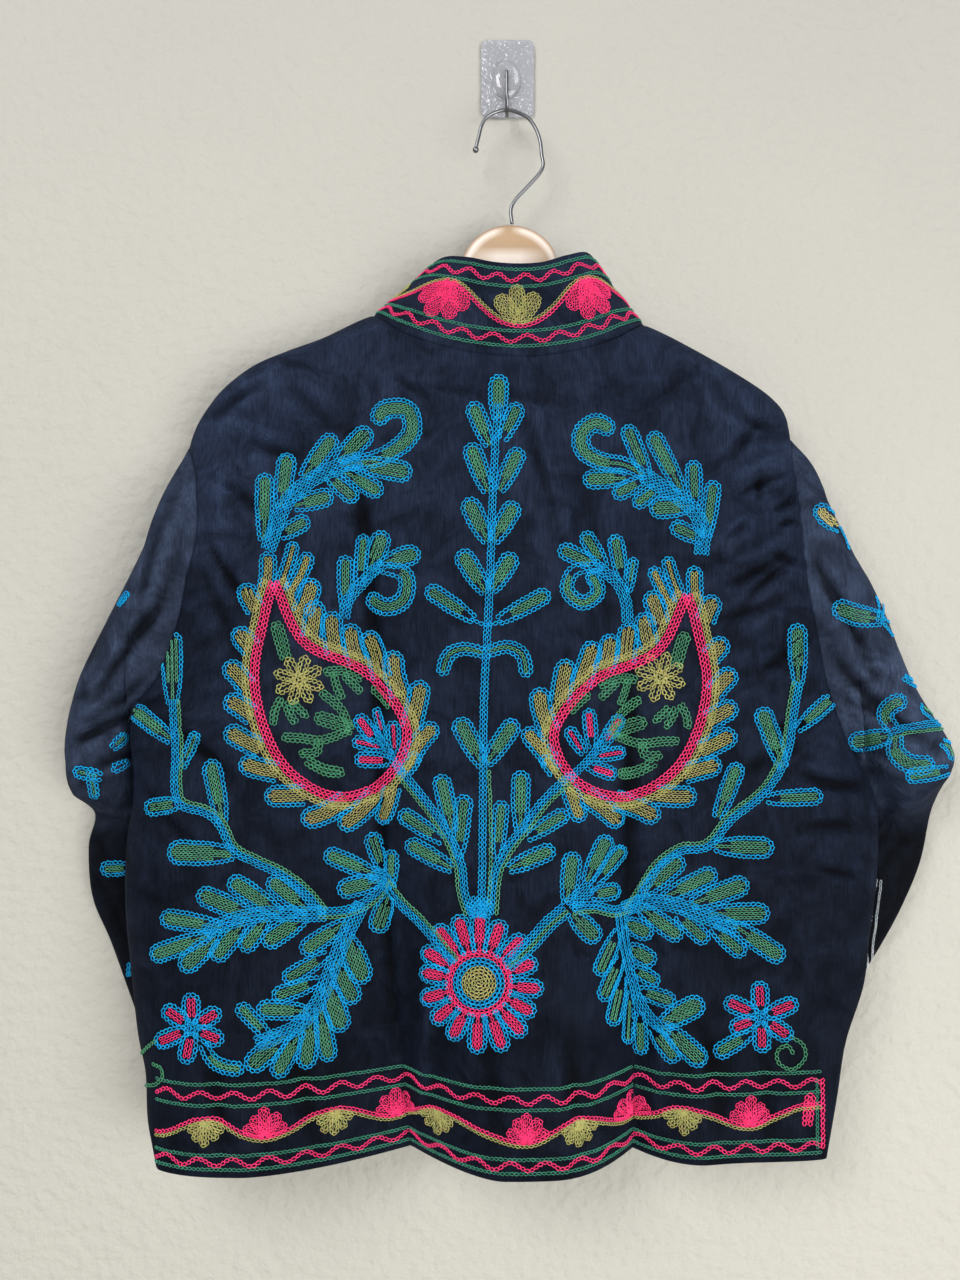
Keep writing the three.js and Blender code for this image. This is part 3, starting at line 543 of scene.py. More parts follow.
# ---------------------------------------------------------------- sleeves
# Wide straight tubes of the same twill, each with one seam, sewn to a dropped shoulder. They bag at the
# elbow, and the forearms hang behind the body. A row of a table is one section: outer end x, z, y, inner end
# x, z, y, how far it stands out at the back and at the front, and the share of it that isn't tucked in.
LEFT_SLEEVE = [
    (-283, -354, -29, -319, -560, -32, 32, 20, 0.93), (-301, -402, -29, -317, -578, -24, 33, 17, 0.78),
    (-333, -465, -28, -302, -594, -18, 33, 13, 0.62), (-358, -516, -28, -295, -606, -16, 32, 11, 0.68),
    (-369, -560, -28, -289, -618, -15, 31, 11, 0.68), (-370, -590, -27, -285, -630, -15, 28, 11, 0.66),
    (-367, -612, -25, -282, -638, -15, 18, 11, 0.62), (-350, -631, -19, -279, -648, -15, 11, 11, 1),
    (-356, -660, -17, -272, -668, -15, 11, 11, 1), (-353, -703, -16, -262, -700, -15, 11, 11, 1),
    (-337, -742, -16, -253, -731, -15, 11, 11, 1), (-317, -798, -16, -236, -782, -15, 11, 11, 1),
    (-303, -836, -16, -224, -821, -15, 11, 11, 1)]
RIGHT_SLEEVE = [
    (252, -336, -29, 295, -586, -31, 32, 20, 1), (265, -367, -29, 288, -602, -22, 34, 18, 0.84),
    (284, -405, -28, 284, -618, -18, 35, 14, 0.72), (307, -447, -28, 279, -634, -16, 35, 12, 0.64),
    (336, -518, -28, 273, -648, -15, 34, 11, 0.54), (366, -566, -28, 270, -660, -15, 32, 11, 0.54),
    (372, -586, -27, 267, -668, -15, 27, 11, 0.54), (366, -604, -24, 265, -676, -15, 17, 11, 0.5),
    (358, -630, -19, 261, -690, -15, 11, 11, 1), (350, -672, -17, 252, -712, -15, 11, 11, 1),
    (336, -708, -16, 243, -735, -15, 11, 11, 1), (318, -742, -16, 232, -758, -15, 11, 11, 1),
    (298, -776, -16, 216, -784, -15, 11, 11, 1), (285, -812, -16, 204, -816, -15, 11, 11, 1)]
# Creases of the sleeves: x and z of both ends, depth, half width, bow.
LEFT_SLEEVE_CREASES = [
    (-268, -352, -300, -470, 1.8, 4.5, 5), (-262, -404, -318, -500, 1.9, 4.5, -6),
    (-270, -450, -340, -540, 2.2, 4.5, 6), (-282, -500, -362, -560, 2.4, 4, -5),
    (-296, -540, -366, -578, 2.6, 4, 4), (-300, -570, -368, -596, 2, 4.5, -4),
    (-306, -596, -360, -610, 1.2, 5, 3), (-300, -400, -330, -440, 1.2, 3, 3),
    (-330, -480, -350, -520, 1.6, 3, 4), (-350, -640, -318, -700, 1.3, 4, 4),
    (-350, -680, -318, -760, 1.3, 4, -4), (-340, -740, -316, -800, 1.1, 4, 3),
    (-318, -452, -280, -440, -1.2, 3, 3), (-356, -548, -310, -520, -1.6, 4, 5),
    (-362, -566, -318, -552, 1.6, 3, 3), (-326, -500, -290, -470, -1.0, 3, 3)]
RIGHT_SLEEVE_CREASES = [
    (240, -350, 268, -372, 1.8, 2.5, 2), (238, -372, 274, -400, 2.2, 3, -3),
    (238, -396, 282, -470, 2.2, 4, 4), (244, -430, 300, -520, 2.2, 4.5, -5),
    (252, -480, 330, -560, 2.4, 4.5, 6), (262, -530, 350, -575, 2.6, 4, -5),
    (275, -565, 362, -592, 2, 4.5, 4), (290, -590, 366, -604, 1.2, 5, 3), (284, -392, 306, -440, 1.2, 3, 3),
    (320, -480, 350, -535, 1.6, 3, -4), (348, -640, 306, -690, 1.4, 4, 4),
    (344, -680, 300, -742, 1.2, 4, -4), (322, -730, 296, -790, 1.0, 4, 3),
    (280, -490, 304, -497, -1.5, 2.5, 2), (292, -480, 308, -494, 1.4, 2.5, -2),
    (280, -501, 324, -510, -1.6, 2.5, 2), (304, -514, 332, -528, 1.6, 2.5, 2),
    (266, -566, 290, -592, 1.5, 4, 4), (296, -470, 318, -500, -1.2, 3, 3),
    (286, -430, 312, -446, -1.2, 3, -3)]
COUNT_ROUND, COUNT_ALONG = 116, 124
SEAM_GAP, SEAM_UNDER, SEAM_OUT = 0.4, 2.2, 1.9       # mm beside the body's seam, under its edge and out of it
LEAST_STAND = 8                             # mm that a tucked part of the sleeve still stands out
SLEEVE_RELIEF, SLEEVE_PAINTED_LIGHT = 1.8, -0.6       # how much a crease stands, and how strongly it is painted pale and dark
# A lighter copy of the twill for the sleeves, a painted light; its fade paints the forearms dark low down, a
# painted shade.
painted_light_twill = twill("black_cotton_twill_painted_light", (0.0125, 0.018, 0.033), (0.026, 0.036, 0.0635),
              (-0.65, -0.58, 0.09, 1.0))
sleeves = []
for name, side, under, sections, rows, out in [
    ("sleeve_left", LEFT_SIDE, UNDERARM[0], LEFT_SLEEVE, LEFT_SLEEVE_CREASES, -1),
    ("sleeve_right", RIGHT_SIDE, UNDERARM[1], RIGHT_SLEEVE, RIGHT_SLEEVE_CREASES, 1),
]:
    angle = np.arange(COUNT_ROUND) / COUNT_ROUND * 2 * math.pi
    share = (1 - np.cos(angle)) / 2
    towards = np.sin(angle) >= 0                          # the half that faces the viewer
    seam_z = lerp(side[0][0], under, share)
    seam_x = read(side, seam_z) + out * SEAM_GAP - out * SEAM_UNDER * np.sin(angle) * towards
    seam_y = np.where(towards, read(side, seam_z, 2) + SEAM_OUT * np.sin(angle), read(side, seam_z, 3))
    rings = [np.stack([seam_x, seam_y, seam_z], -1)]
    for ox, oz, oy, ix, iz, iy, stand, rear, tuck in sections:
        flat = np.abs(np.sin(angle))
        full = round_off(1 - np.abs(2 * np.minimum(share / tuck, 1) - 1))
        bulge = np.where(towards, -np.maximum(stand * full, LEAST_STAND * flat), rear * flat)
        rings.append(np.stack([lerp(ox, ix, share), lerp(oy, iy, share) + bulge, lerp(oz, iz, share)], -1))
    rings = np.array(rings)
    at = np.linspace(0, len(rings) - 1, COUNT_ALONG)
    grid = np.stack([follow(rings[:, i], at) for i in range(COUNT_ROUND)], 1)
    for _ in range(46):                     # small wrinkles all down the upper arm
        row = sections[int(chance.integers(0, 8))]
        along = chance.uniform(0, 0.9)
        x0, z0 = lerp(row[0], row[3], along), lerp(row[1], row[4], along) + chance.uniform(-20, 20)
        rows.append(wrinkle(x0, z0, out, -1, (16, 52), (-0.5, 1.1), (0.4, 1.0), (2.6, 4), 3))
    weight = np.where(towards, np.abs(np.sin(angle)) ** 0.7, 0)
    fade = smooth(at / 0.5)[:, None]
    relief = creases(grid[..., 0], grid[..., 2], rows) * weight[None, :] * fade
    grid[..., 1] += SLEEVE_RELIEF * relief
    centre = grid.mean(1, keepdims=True)
    # the sleeve creases are painted: crests pale, valleys dark
    piece = cloth_mesh("cloth_" + name, grid, CLOTH, grid - centre, wrap=True, relief=SLEEVE_PAINTED_LIGHT * relief)
    piece.data.materials.append(painted_light_twill)
    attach(piece, "root")
    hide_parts(name)
    sleeves.append(piece)

# ---------------------------------------------------------------- collar
# A standing band of doubled twill, about 70 mm high, sewn to the neckline and stiffened by its embroidery. It
# is open at the centre front, and its sides lean inwards over the shoulders.
COLLAR = [                                  # base x, z, top x, y, z
    (-5, -298, -5, -5, -238), (-45, -286, -27, -5, -228), (-84, -260, -48, -6, -210),
    (-108, -232, -62, -12, -190), (-115, -214, -69, -30, -178), (-91, -233, -55, -46, -170.5),
    (-59, -248, -35, -58, -174), (-28, -256, -13, -65, -180.5), (7, -259.5, 7, -67, -182.5),
    (41, -256, 27, -65, -180.5), (72, -247, 47, -58, -172.5), (95, -235, 65, -46, -166.5),
    (115, -222, 75, -32, -177), (108, -239, 66, -12, -194), (84, -264, 50, -6, -214),
    (45, -288, 27, -5, -230), (5, -298, 5, -5, -238)]
COLLAR_THICK, COLLAR_BULGE, COLLAR_HIGH = 2.4, 1.2, 72
COLLAR_ROUND, COLLAR_UP = 160, 24           # steps along the band and up it


def neck_depth(k, x, z):
    """Depth of the collar's seam at a row of the table: on the back, on the hanger's line or on a front."""
    if k in (4, 12):
        return HOOK_Y
    return float(back_depth(x, z)) if 4 < k < 12 else float(front_depth(x, z))


at = np.linspace(0, len(COLLAR) - 1, COLLAR_ROUND + 1)
base = follow(np.array([(x, neck_depth(k, x, z), z) for k, (x, z, *_) in enumerate(COLLAR)]), at)
top = follow(np.array([row[2:] for row in COLLAR], float), at)
rise = np.linspace(0.004, 1, COLLAR_UP + 1)[:, None, None]
collar_grid = lerp(base[None], top[None], rise)
bulge = np.sin(np.pi * rise[..., 0]) * COLLAR_BULGE
collar_grid[..., 1] -= bulge * np.clip((-collar_grid[..., 1] - 20) / 40, 0, 1)
NECK_MIDDLE = (0, -36, -215)
collar = cloth_mesh("cloth_collar", collar_grid, COLLAR_THICK, collar_grid - NECK_MIDDLE)
collar.data.materials.append(cotton)
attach(collar, "root")
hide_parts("collar")

# ---------------------------------------------------------------- chain-stitch embroidery: how it is worked
# Thick two-ply yarn, worked from above with a hook in rows of chain stitch. Each stitch is a loop that comes
# out of the one before. A leaf is outlined with one row and filled with rows laid side by side, so that dark
# cloth shows in each loop.
TURQUOISE = (0.0, 0.32, 0.65)
LEAF_GREEN = (0.09, 0.32, 0.18)
MOSS = (0.06, 0.25, 0.13)
OLIVE = (0.4, 0.38, 0.13)
PINK = (1.0, 0.04, 0.18)
BAND_GREEN = (0.045, 0.23, 0.15)
YELLOW = (0.6, 0.52, 0.2)
WHITE = (0.62, 0.66, 0.7)
STITCH = 3.5                                # mm from one stitch to the next
LOOP = (4.9, 3.5)                           # mm, length and width of a loop in the filling
YARN = 0.5                                  # mm, radius of the pressed yarn
BROAD = 1.4                                 # outline rows are worked looser than the filling, by this much
EDGE_LIFT, OVER = 0.25, 0.75                # mm that an outline, and a row worked over others, is raised
LOOP_STEPS = 5
RISE, TILT = 0.5, 0.26                      # mm that a loop stands on the cloth and leans on the one before
BREAK, AIM = 9, 1.3                         # mm: a jump that ends a row, and how far off a stitch is aimed
hand = np.random.default_rng(41)            # a hand's unevenness
TURN_BY, SHIFT_BY, SIZE_BY, SHADE_BY, DYE_BY = 0.12, 0.1, 0.05, 0.09, 0.035

yarn, tree, shader = material("embroidery_yarn", (0.5, 0.5, 0.5), 0.8, Specular_IOR_Level=0.2,
                              Sheen_Weight=0.03, Sheen_Roughness=0.4)
dye = node(tree, "ShaderNodeAttribute", attribute_name="yarn").outputs["Color"]
ply = noise(tree, node(tree, "ShaderNodeTexCoord").outputs["Object"], 1400.0, 3.0)
dyed = node(tree, "ShaderNodeVectorMath", [(0, dye), ("Scale", fit(tree, ply, 0.3, 0.7, 0.72, 1.18))],
            operation="SCALE")
tree.links.new(dyed.outputs["Vector"], shader.inputs["Base Color"])
bump(tree, shader, ply, 0.5, 0.0004)


class Chart:
    """Rows of chain stitch drawn flat. place takes a chart's point to the cloth, gap is a row's width."""

    def __init__(self, place, gap):
        self.place, self.gap, self.rows = place, gap, []

    def row(self, colour, path, gauge=1.0, lift=0.0):
        self.rows.append((colour, path, gauge, lift))


def curve(points, step=1.2):
    """A smooth line through the given places, sampled evenly."""
    p = np.array(points, float)
    if len(p) < 3:
        n = max(int(np.linalg.norm(p[-1] - p[0]) / step), 2)
        return p[0] + (p[-1] - p[0]) * np.linspace(0, 1, n + 1)[:, None]
    span = lengths(p)
    return follow(p, np.linspace(0, span[-1], max(int(span[-1] / step), 4) + 1), span)


def sideways(path):
    along = np.gradient(path, axis=0)
    along /= np.linalg.norm(along, axis=1, keepdims=True) + 1e-9
    return np.stack([-along[:, 1], along[:, 0]], -1)


def strand(chart, colours, points, gauge=1.18, lift=OVER):
    """Rows side by side along a line, one for each colour, worked over what is there."""
    path = curve(points)
    side = sideways(path)
    for k, colour in enumerate(colours):
        chart.row(colour, path + side * chart.gap * (k - (len(colours) - 1) / 2), gauge, lift)


def leaf(chart, points, width, fill=LEAF_GREEN, edge=TURQUOISE, blunt=0.4, broad=BROAD):
    """A leaf or petal from its base to its tip: an outline row, with rows side by side inside it."""
    path = curve(points, step=0.8)
    rim = chart.gap * broad
    run = lengths(path)
    path, run = path[run <= run[-1] - rim / 2], run[run <= run[-1] - rim / 2]
    side = sideways(path)
    half = (width - rim) / 2
    cap = max(run[-1] - half * 1.1, run[-1] * 0.45)
    rising = blunt + (1 - blunt) * np.sin(np.pi / 2 * np.clip(run / (cap * 0.7), 0, 1)) ** 0.75
    closing = np.sqrt(np.maximum(1 - ((run - cap) / (run[-1] - cap)) ** 2, 0))
    spread = half * np.where(run < cap, rising, closing)
    out = np.concatenate([path + side * spread[:, None], (path - side * spread[:, None])[::-1]])
    chart.row(edge, out, broad, EDGE_LIFT)
    room = half - rim / 2
    inside = int(round(2 * room / chart.gap + 0.2))
    for k in range(inside):
        off = 2 * room * ((k + 0.5) / inside - 0.5)
        keep = spread - rim / 2 >= abs(off) + room / inside * 0.4
        if keep.sum() > 4:
            chart.row(fill, (path + side * off)[keep])


def leaves(chart, rows, *colours):
    """Straight leaves, each row of the table giving tip, base and width."""
    for tip, base, width in rows:
        leaf(chart, [base, tip], width, *colours)


def ring(chart, colour, centre, radius, gauge=1.1, lift=0.0):
    turn = np.linspace(0, 2 * math.pi, max(int(radius * 5), 12))
    chart.row(colour, np.array(centre) + radius * np.stack([np.cos(turn), np.sin(turn)], -1), gauge, lift)


def flower(chart, centre, tips, width, fill, edge, heart):
    """Petals from a centre to their tips, with a few turns of yarn at the heart."""
    centre = np.array(centre, float)
    for tip in tips:
        tip = np.array(tip, float)
        leaf(chart, [centre + (tip - centre) * 0.12, tip], width, fill, edge)
    for radius in (0.5, 1.4):
        ring(chart, heart, centre, chart.gap * radius, 1.1, OVER)


def palmette(chart, base, size, down, colour, lobes, width):
    """A fan of solid lobes, all in one colour, on the hem band and the collar."""
    base = np.array(base, float)
    spread = {3: 84, 4: 100, 5: 128}[lobes]             # degrees
    for k in sorted(range(lobes), key=lambda q: -abs(q - (lobes - 1) / 2)):
        turn = math.radians(-spread / 2 + spread * k / (lobes - 1) + hand.uniform(-4, 4))
        reach = size * (1 - 0.09 * abs(k - (lobes - 1) / 2)) * hand.uniform(0.95, 1.05)
        tip = base + reach * np.array([math.sin(turn), down * math.cos(turn)])
        middle = base + (tip - base) * 0.5 + [0, down * size * 0.04]
        leaf(chart, [base, middle, tip], width, colour, colour, 0.45, 1.05)


def at_run(values, run, at):
    """Values of a path read at given lengths of its run."""
    return np.stack([np.interp(at, run, values[:, c]) for c in range(3)], -1)


def embroider(name, charts):
    """Lays a loop of yarn for each stitch of the charts' rows, on the cloth, as one joined mesh."""
    laid_rows = [(*chart.place(np.asarray(path, float)), colour, gauge, lift)
                 for chart in charts for colour, path, gauge, lift in chart.rows]
    stitches = []
    for laid, facing, there, colour, gauge, lift in laid_rows:
        jump = np.linalg.norm(np.diff(laid, axis=0), axis=1) > BREAK
        breaks = np.flatnonzero(jump | ~there[1:] | ~there[:-1]) + 1
        for part in np.split(np.arange(len(laid)), breaks):
            if len(part) < 3:
                continue
            line, face = laid[part], facing[part]
            run = lengths(line)
            count = int(round(run[-1] / STITCH / (0.7 + 0.3 * gauge)))
            if count == 0:
                continue
            at = (np.arange(count) + 0.5) * run[-1] / count
            aim = at_run(line, run, at + AIM) - at_run(line, run, at - AIM)
            stitches.append((at_run(line, run, at), aim, at_run(face, run, at), np.tile(colour, (count, 1)),
                             np.full((count, 1), gauge), np.full((count, 1), lift)))
    spot, aim, up, dye, gauge, lift = (np.concatenate(v) for v in zip(*stitches))
    n = len(spot)
    aim += hand.normal(0, TURN_BY, (n, 3)) * np.linalg.norm(aim, axis=1, keepdims=True)
    up /= np.linalg.norm(up, axis=1, keepdims=True)
    aim -= up * (aim * up).sum(1, keepdims=True)
    aim /= np.linalg.norm(aim, axis=1, keepdims=True) + 1e-9
    side = np.cross(up, aim)
    spot = spot + side * hand.normal(0, SHIFT_BY, (n, 1))
    turn = np.arange(LOOP_STEPS) / LOOP_STEPS * 2 * math.pi
    long, wide = LOOP[0] / 2 - YARN, LOOP[1] / 2 - YARN
    ring_x = long * np.cos(turn)
    ring_y = wide * np.sin(turn) * (0.9 + 0.18 * np.cos(turn))
    ring_z = RISE + TILT * np.cos(turn)
    out = np.stack([np.cos(turn) * wide, np.sin(turn) * long], -1)
    out /= np.linalg.norm(out, axis=1, keepdims=True)
    section = math.pi / 2 + np.arange(3) * 2 * math.pi / 3          # the yarn is three-sided
    local_x = (ring_x[:, None] + YARN * np.cos(section) * out[:, :1]).ravel()
    local_y = (ring_y[:, None] + YARN * np.cos(section) * out[:, 1:]).ravel()
    local_z = (ring_z[:, None] + YARN * np.sin(section)[None]).ravel()
    length = local_x * (0.65 + 0.35 * gauge) * hand.normal(1, SIZE_BY, (n, 1))
    girth = local_y * gauge * hand.normal(1, SIZE_BY, (n, 1))
    height = local_z * (0.6 + 0.4 * gauge) + lift
    points = (spot[:, None] + aim[:, None] * length[..., None] + side[:, None] * girth[..., None]
              + up[:, None] * height[..., None]) / 1000
    k, s = np.meshgrid(np.arange(LOOP_STEPS), np.arange(3), indexing="ij")
    here, on = k * 3, (k + 1) % LOOP_STEPS * 3
    quads = np.stack([v.ravel() for v in (here + s, on + s, on + (s + 1) % 3, here + (s + 1) % 3)], -1)
    faces = (quads[None] + (np.arange(n) * LOOP_STEPS * 3)[:, None, None]).reshape(-1, 4)
    shade = dye * hand.normal(1, SHADE_BY, (n, 1)) * (1 + hand.normal(0, DYE_BY, (n, 3)))
    # painted shade: each loop's top is painted lighter and its lower sides darker
    shade = (shade[:, None] * np.tile([1.18, 0.78, 0.78], LOOP_STEPS)[None, :, None]).reshape(-1, 3)
    colours = np.concatenate([np.clip(shade, 0.0005, 1), np.ones((len(shade), 1))], 1)
    obj = mesh_object(name, points.reshape(-1, 3), faces, colours)
    obj.data.materials.append(yarn)
    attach(obj, "root")
    return obj


FACING = 0.12                               # cloth turned away by more than this carries no stitches


def sight(piece):
    """A chart seen from in front: each of its points is carried along the line of sight to the cloth."""
    mesh = piece.data
    tree = BVHTree.FromPolygons([v.co[:] for v in mesh.vertices], [p.vertices[:] for p in mesh.polygons])
    eye = Vector(EYE)

    def place(path):
        spots, normals = np.zeros((len(path), 3)), np.tile([0.0, -1.0, 0.0], (len(path), 1))
        there = np.zeros(len(path), bool)
        for k, (px, py) in enumerate(path):
            aim = Vector(((px - FRAME_WIDTH / 2) / FOCAL, 1, (FRAME_HEIGHT / 2 - py) / FOCAL)).normalized()
            spot, normal = tree.ray_cast(eye, aim)[:2]
            if spot is not None:
                spots[k] = np.array(spot) * 1000
                normals[k] = np.array(normal if normal.dot(aim) < 0 else -normal)
                there[k] = normals[k][1] < -FACING
        return spots, normals, there

    return place


ROW = 4.1                                   # a row's width in the chart's own units, 0.79 mm each
on_back = sight(back)

# ---------------------------------------------------------------- embroidery: centre stem and flower
# Worked first, straight on the middle of the back. An upright stem with paired leaves rises out of a round
# flower, and two leafy branches lean out from its foot to the paisleys.
centre = Chart(on_back, ROW)
STEM_LEAVES = [                             # tip, base, width
    ((499, 373), (498, 420), 22), ((471, 401), (490, 446), 21), ((520, 402), (502, 440), 20),
    ((469, 442), (488, 492), 22), ((521, 447), (499, 491), 21), ((466, 497), (488, 542), 23),
    ((517, 501), (493, 542), 22), ((459, 549), (486, 593), 23), ((515, 552), (491, 591), 22),
    ((425, 587), (474, 620), 20), ((551, 592), (498, 621), 20), ((457, 717), (483, 766), 23),
    ((517, 719), (486, 764), 22)]
leaves(centre, STEM_LEAVES)
HANGING = [[(484, 653), (464, 649), (449, 655), (441, 677)], [(485, 653), (507, 647), (522, 655), (527, 679)]]
for points in HANGING:
    leaf(centre, points, 16, blunt=0.7)
BRANCH_LEAVES = [                           # tip, base, width
    ((440, 773), (453, 832), 21), ((465, 793), (458, 858), 20), ((398, 811), (443, 841), 20),
    ((405, 841), (453, 869), 21), ((502, 799), (497, 858), 18), ((521, 769), (520, 832), 21),
    ((569, 811), (526, 838), 19), ((556, 848), (508, 869), 21)]
leaves(centre, BRANCH_LEAVES)
BLOOM = (479, 983)
HEART_RINGS, GREEN_RINGS, PINK_RINGS = (1.8, 5.2, 8.6, 12, 15.4), (19.6, 23.6), (28, 31.6)
PETAL_ROOT, PETAL_WIDTH = 31, 21.5
PETALS = [                                  # the outer end of each petal
    (541, 989), (533, 1013), (523, 1034), (503, 1049), (477, 1051), (452, 1038), (434, 1021), (423, 999),
    (422, 972), (424, 950), (437, 927), (458, 917), (480, 914), (501, 922), (523, 937), (535, 962)]
for tip in PETALS:
    aim = np.array(tip, float) - BLOOM
    aim /= np.linalg.norm(aim)
    leaf(centre, [BLOOM + aim * PETAL_ROOT, np.array(tip) + aim * 4], PETAL_WIDTH, PINK, blunt=0.55)
for radius in HEART_RINGS:
    ring(centre, OLIVE, BLOOM, radius, 1.15)
for radius in GREEN_RINGS:
    ring(centre, TURQUOISE, BLOOM, radius, BROAD)
for radius in PINK_RINGS:
    ring(centre, PINK, BLOOM, radius, 1.2, EDGE_LIFT)
T, G = TURQUOISE, LEAF_GREEN
STEMS = [                                   # colours across the stem, then its places
    ((T, T, T, T), [(468, 911), (480, 908), (492, 911)]), ((T, T, T, T), [(478, 917), (480, 896)]),
    ((T, T, G), [(399, 770), (431, 810), (449, 838), (460, 866), (463, 892), (470, 914)]),
    ((G, T, T), [(571, 776), (545, 801), (526, 826), (507, 851), (497, 872), (492, 914)]),
    ((G,), [(489, 905), (491, 840), (489, 770)]),
    ((T, T), [(481, 918), (482, 880), (483, 790), (484, 700), (487, 640), (490, 580), (493, 490),
              (498, 404)]),
    ((T,), [(470, 619), (487, 625), (502, 621)])]
for colours, points in STEMS:
    strand(centre, colours, points)
embroidery = [embroider("embroidery_centre", [centre])]

# ---------------------------------------------------------------- embroidery: paisleys
# Two drops that lean to the middle, the right one the left one turned over. Each is a double pink row,
# fringed outside with olive feathers and filled inside with a small flower and sprigs.
LEFT_PAISLEY = [                            # its tip, then round the drop
    (274, 582), (304, 642), (368, 674), (407, 730), (385, 780), (334, 796), (281, 761), (255, 683),
    (268, 601)]
FEATHERS = [                                # root, tip
    ((266, 587), (267, 550)), ((281, 585), (295, 540)), ((291, 592), (310, 551)), ((302, 612), (313, 577)),
    ((312, 636), (316, 599)), ((336, 652), (331, 610)), ((358, 661), (350, 622)), ((381, 676), (366, 630)),
    ((401, 694), (393, 649)), ((412, 726), (422, 679)), ((411, 757), (438, 723)), ((256, 609), (244, 582)),
    ((251, 648), (236, 626)), ((247, 686), (225, 661)), ((252, 716), (223, 698)), ((259, 748), (224, 728)),
    ((276, 772), (238, 761)), ((303, 795), (263, 796)), ((345, 801), (300, 821)), ((374, 797), (338, 828)),
    ((392, 788), (379, 825)), ((406, 770), (420, 752))]


ACROSS, FOOT, SHORTER = 961, 795, 0.94      # twice the middle line, the drops' foot, the right one's height


def mirrored(points):
    """The right-hand half of the pattern: the left-hand one turned over and a little shorter."""
    return [(ACROSS - x, FOOT - (FOOT - y) * SHORTER) for x, y in points]


PAISLEY_ROWS = [(OLIVE, 1.85, 1.2, 0.5), (OLIVE, 2.7, 1.2, 0.5), (PINK, -0.6, 1.4, 0.9),
                (PINK, 0.65, 1.4, 0.9)]     # colour, rows out of the outline, gauge, lift


def paisley(chart, outline, feathers):
    """The pink double outline with an olive row outside it, and a feather from that row to each given tip."""
    shape = np.array(outline, float)
    closing = shape[-1:] + (shape[0] - shape[-1]) * np.linspace(0.1, 1, 12)[:, None]
    path = np.concatenate([curve(outline), closing])
    side = sideways(path)
    middle = shape.mean(0)
    if ((path - middle) * side).sum() < 0:
        side = -side
    roots = np.array([pair[0] for pair in feathers], float)
    for root, tip in feathers:
        root, tip = np.array(root, float), np.array(tip, float)
        near = np.sort(np.linalg.norm(roots - root, axis=1))[1:3].mean()
        root -= (tip - root) * 0.04
        swing = np.array([-(tip - root)[1], (tip - root)[0]]) * hand.uniform(-0.06, 0.06)
        leaf(chart, [root, (root + tip) / 2 + swing, tip], np.clip(near, 16, 24), OLIVE, TURQUOISE, 1.0)
    for colour, off, gauge, lift in PAISLEY_ROWS:
        chart.row(colour, path + side * chart.gap * off, gauge, lift)


left_paisley = Chart(on_back, ROW)
paisley(left_paisley, LEFT_PAISLEY, FEATHERS)
right_paisley = Chart(on_back, ROW)
paisley(right_paisley, mirrored(LEFT_PAISLEY), [mirrored(pair) for pair in FEATHERS])
SPRIGS = [                                  # width, then the places along each sprig
    (15, [(286, 659), (281, 640), (275, 620)]), (11, [(362, 679), (345, 671), (322, 672)]),
    (10, [(333, 672), (337, 686), (343, 701)]), (10, [(344, 675), (353, 684), (363, 694)]),
    (11, [(351, 730), (340, 708), (319, 691)]), (16, [(351, 729), (333, 722), (313, 716)]),
    (11, [(351, 730), (322, 740), (300, 738), (280, 737)]), (11, [(319, 739), (316, 752), (297, 753)]),
    (13, [(306, 760), (325, 770), (346, 773)]), (10, [(281, 698), (275, 711), (273, 727)]),
    (10, [(285, 702), (290, 714), (297, 725)]), (10, [(292, 702), (300, 710), (309, 718)]),
    (11, [(391, 707), (382, 696), (370, 686)])]
for width, points in SPRIGS:
    leaf(left_paisley, points, width, MOSS, MOSS, 0.75)
    leaf(right_paisley, mirrored(points), width, MOSS, MOSS, 0.75)
PETAL_TURNS, PETAL_REACH = np.linspace(0.3, 6.58, 9)[:-1], 27
for chart, middle in ((left_paisley, (299, 680)), (right_paisley, (660, 677))):
    tips = [np.array(middle) + PETAL_REACH * np.array([math.cos(a), math.sin(a)]) for a in PETAL_TURNS]
    flower(chart, middle, tips, 12.5, OLIVE, OLIVE, OLIVE)
HIGH = OVER * 1.3                           # the sprigs' stems lie over all else
LEFT_SPRIG = [                              # tip, base, width
    ((356, 714), (376, 742), 18), ((375, 706), (385, 740), 13), ((393, 719), (395, 754), 16),
    ((351, 740), (384, 748), 16), ((353, 759), (393, 761), 18)]
RIGHT_SPRIG = [                             # tip, base, width
    ((566, 726), (584, 754), 16), ((588, 707), (592, 748), 17), ((622, 714), (600, 748), 17),
    ((627, 751), (594, 757), 16), ((618, 776), (586, 765), 17)]
leaves(left_paisley, LEFT_SPRIG, PINK)
leaves(right_paisley, RIGHT_SPRIG, PINK)
strand(left_paisley, (TURQUOISE, TURQUOISE), [(374, 724), (387, 748), (402, 773)], lift=HIGH)
strand(right_paisley, (TURQUOISE, TURQUOISE), [(608, 730), (593, 753), (569, 779)], lift=HIGH)
embroidery.append(embroider("embroidery_left_paisley", [left_paisley]))
embroidery.append(embroider("embroidery_right_paisley", [right_paisley]))

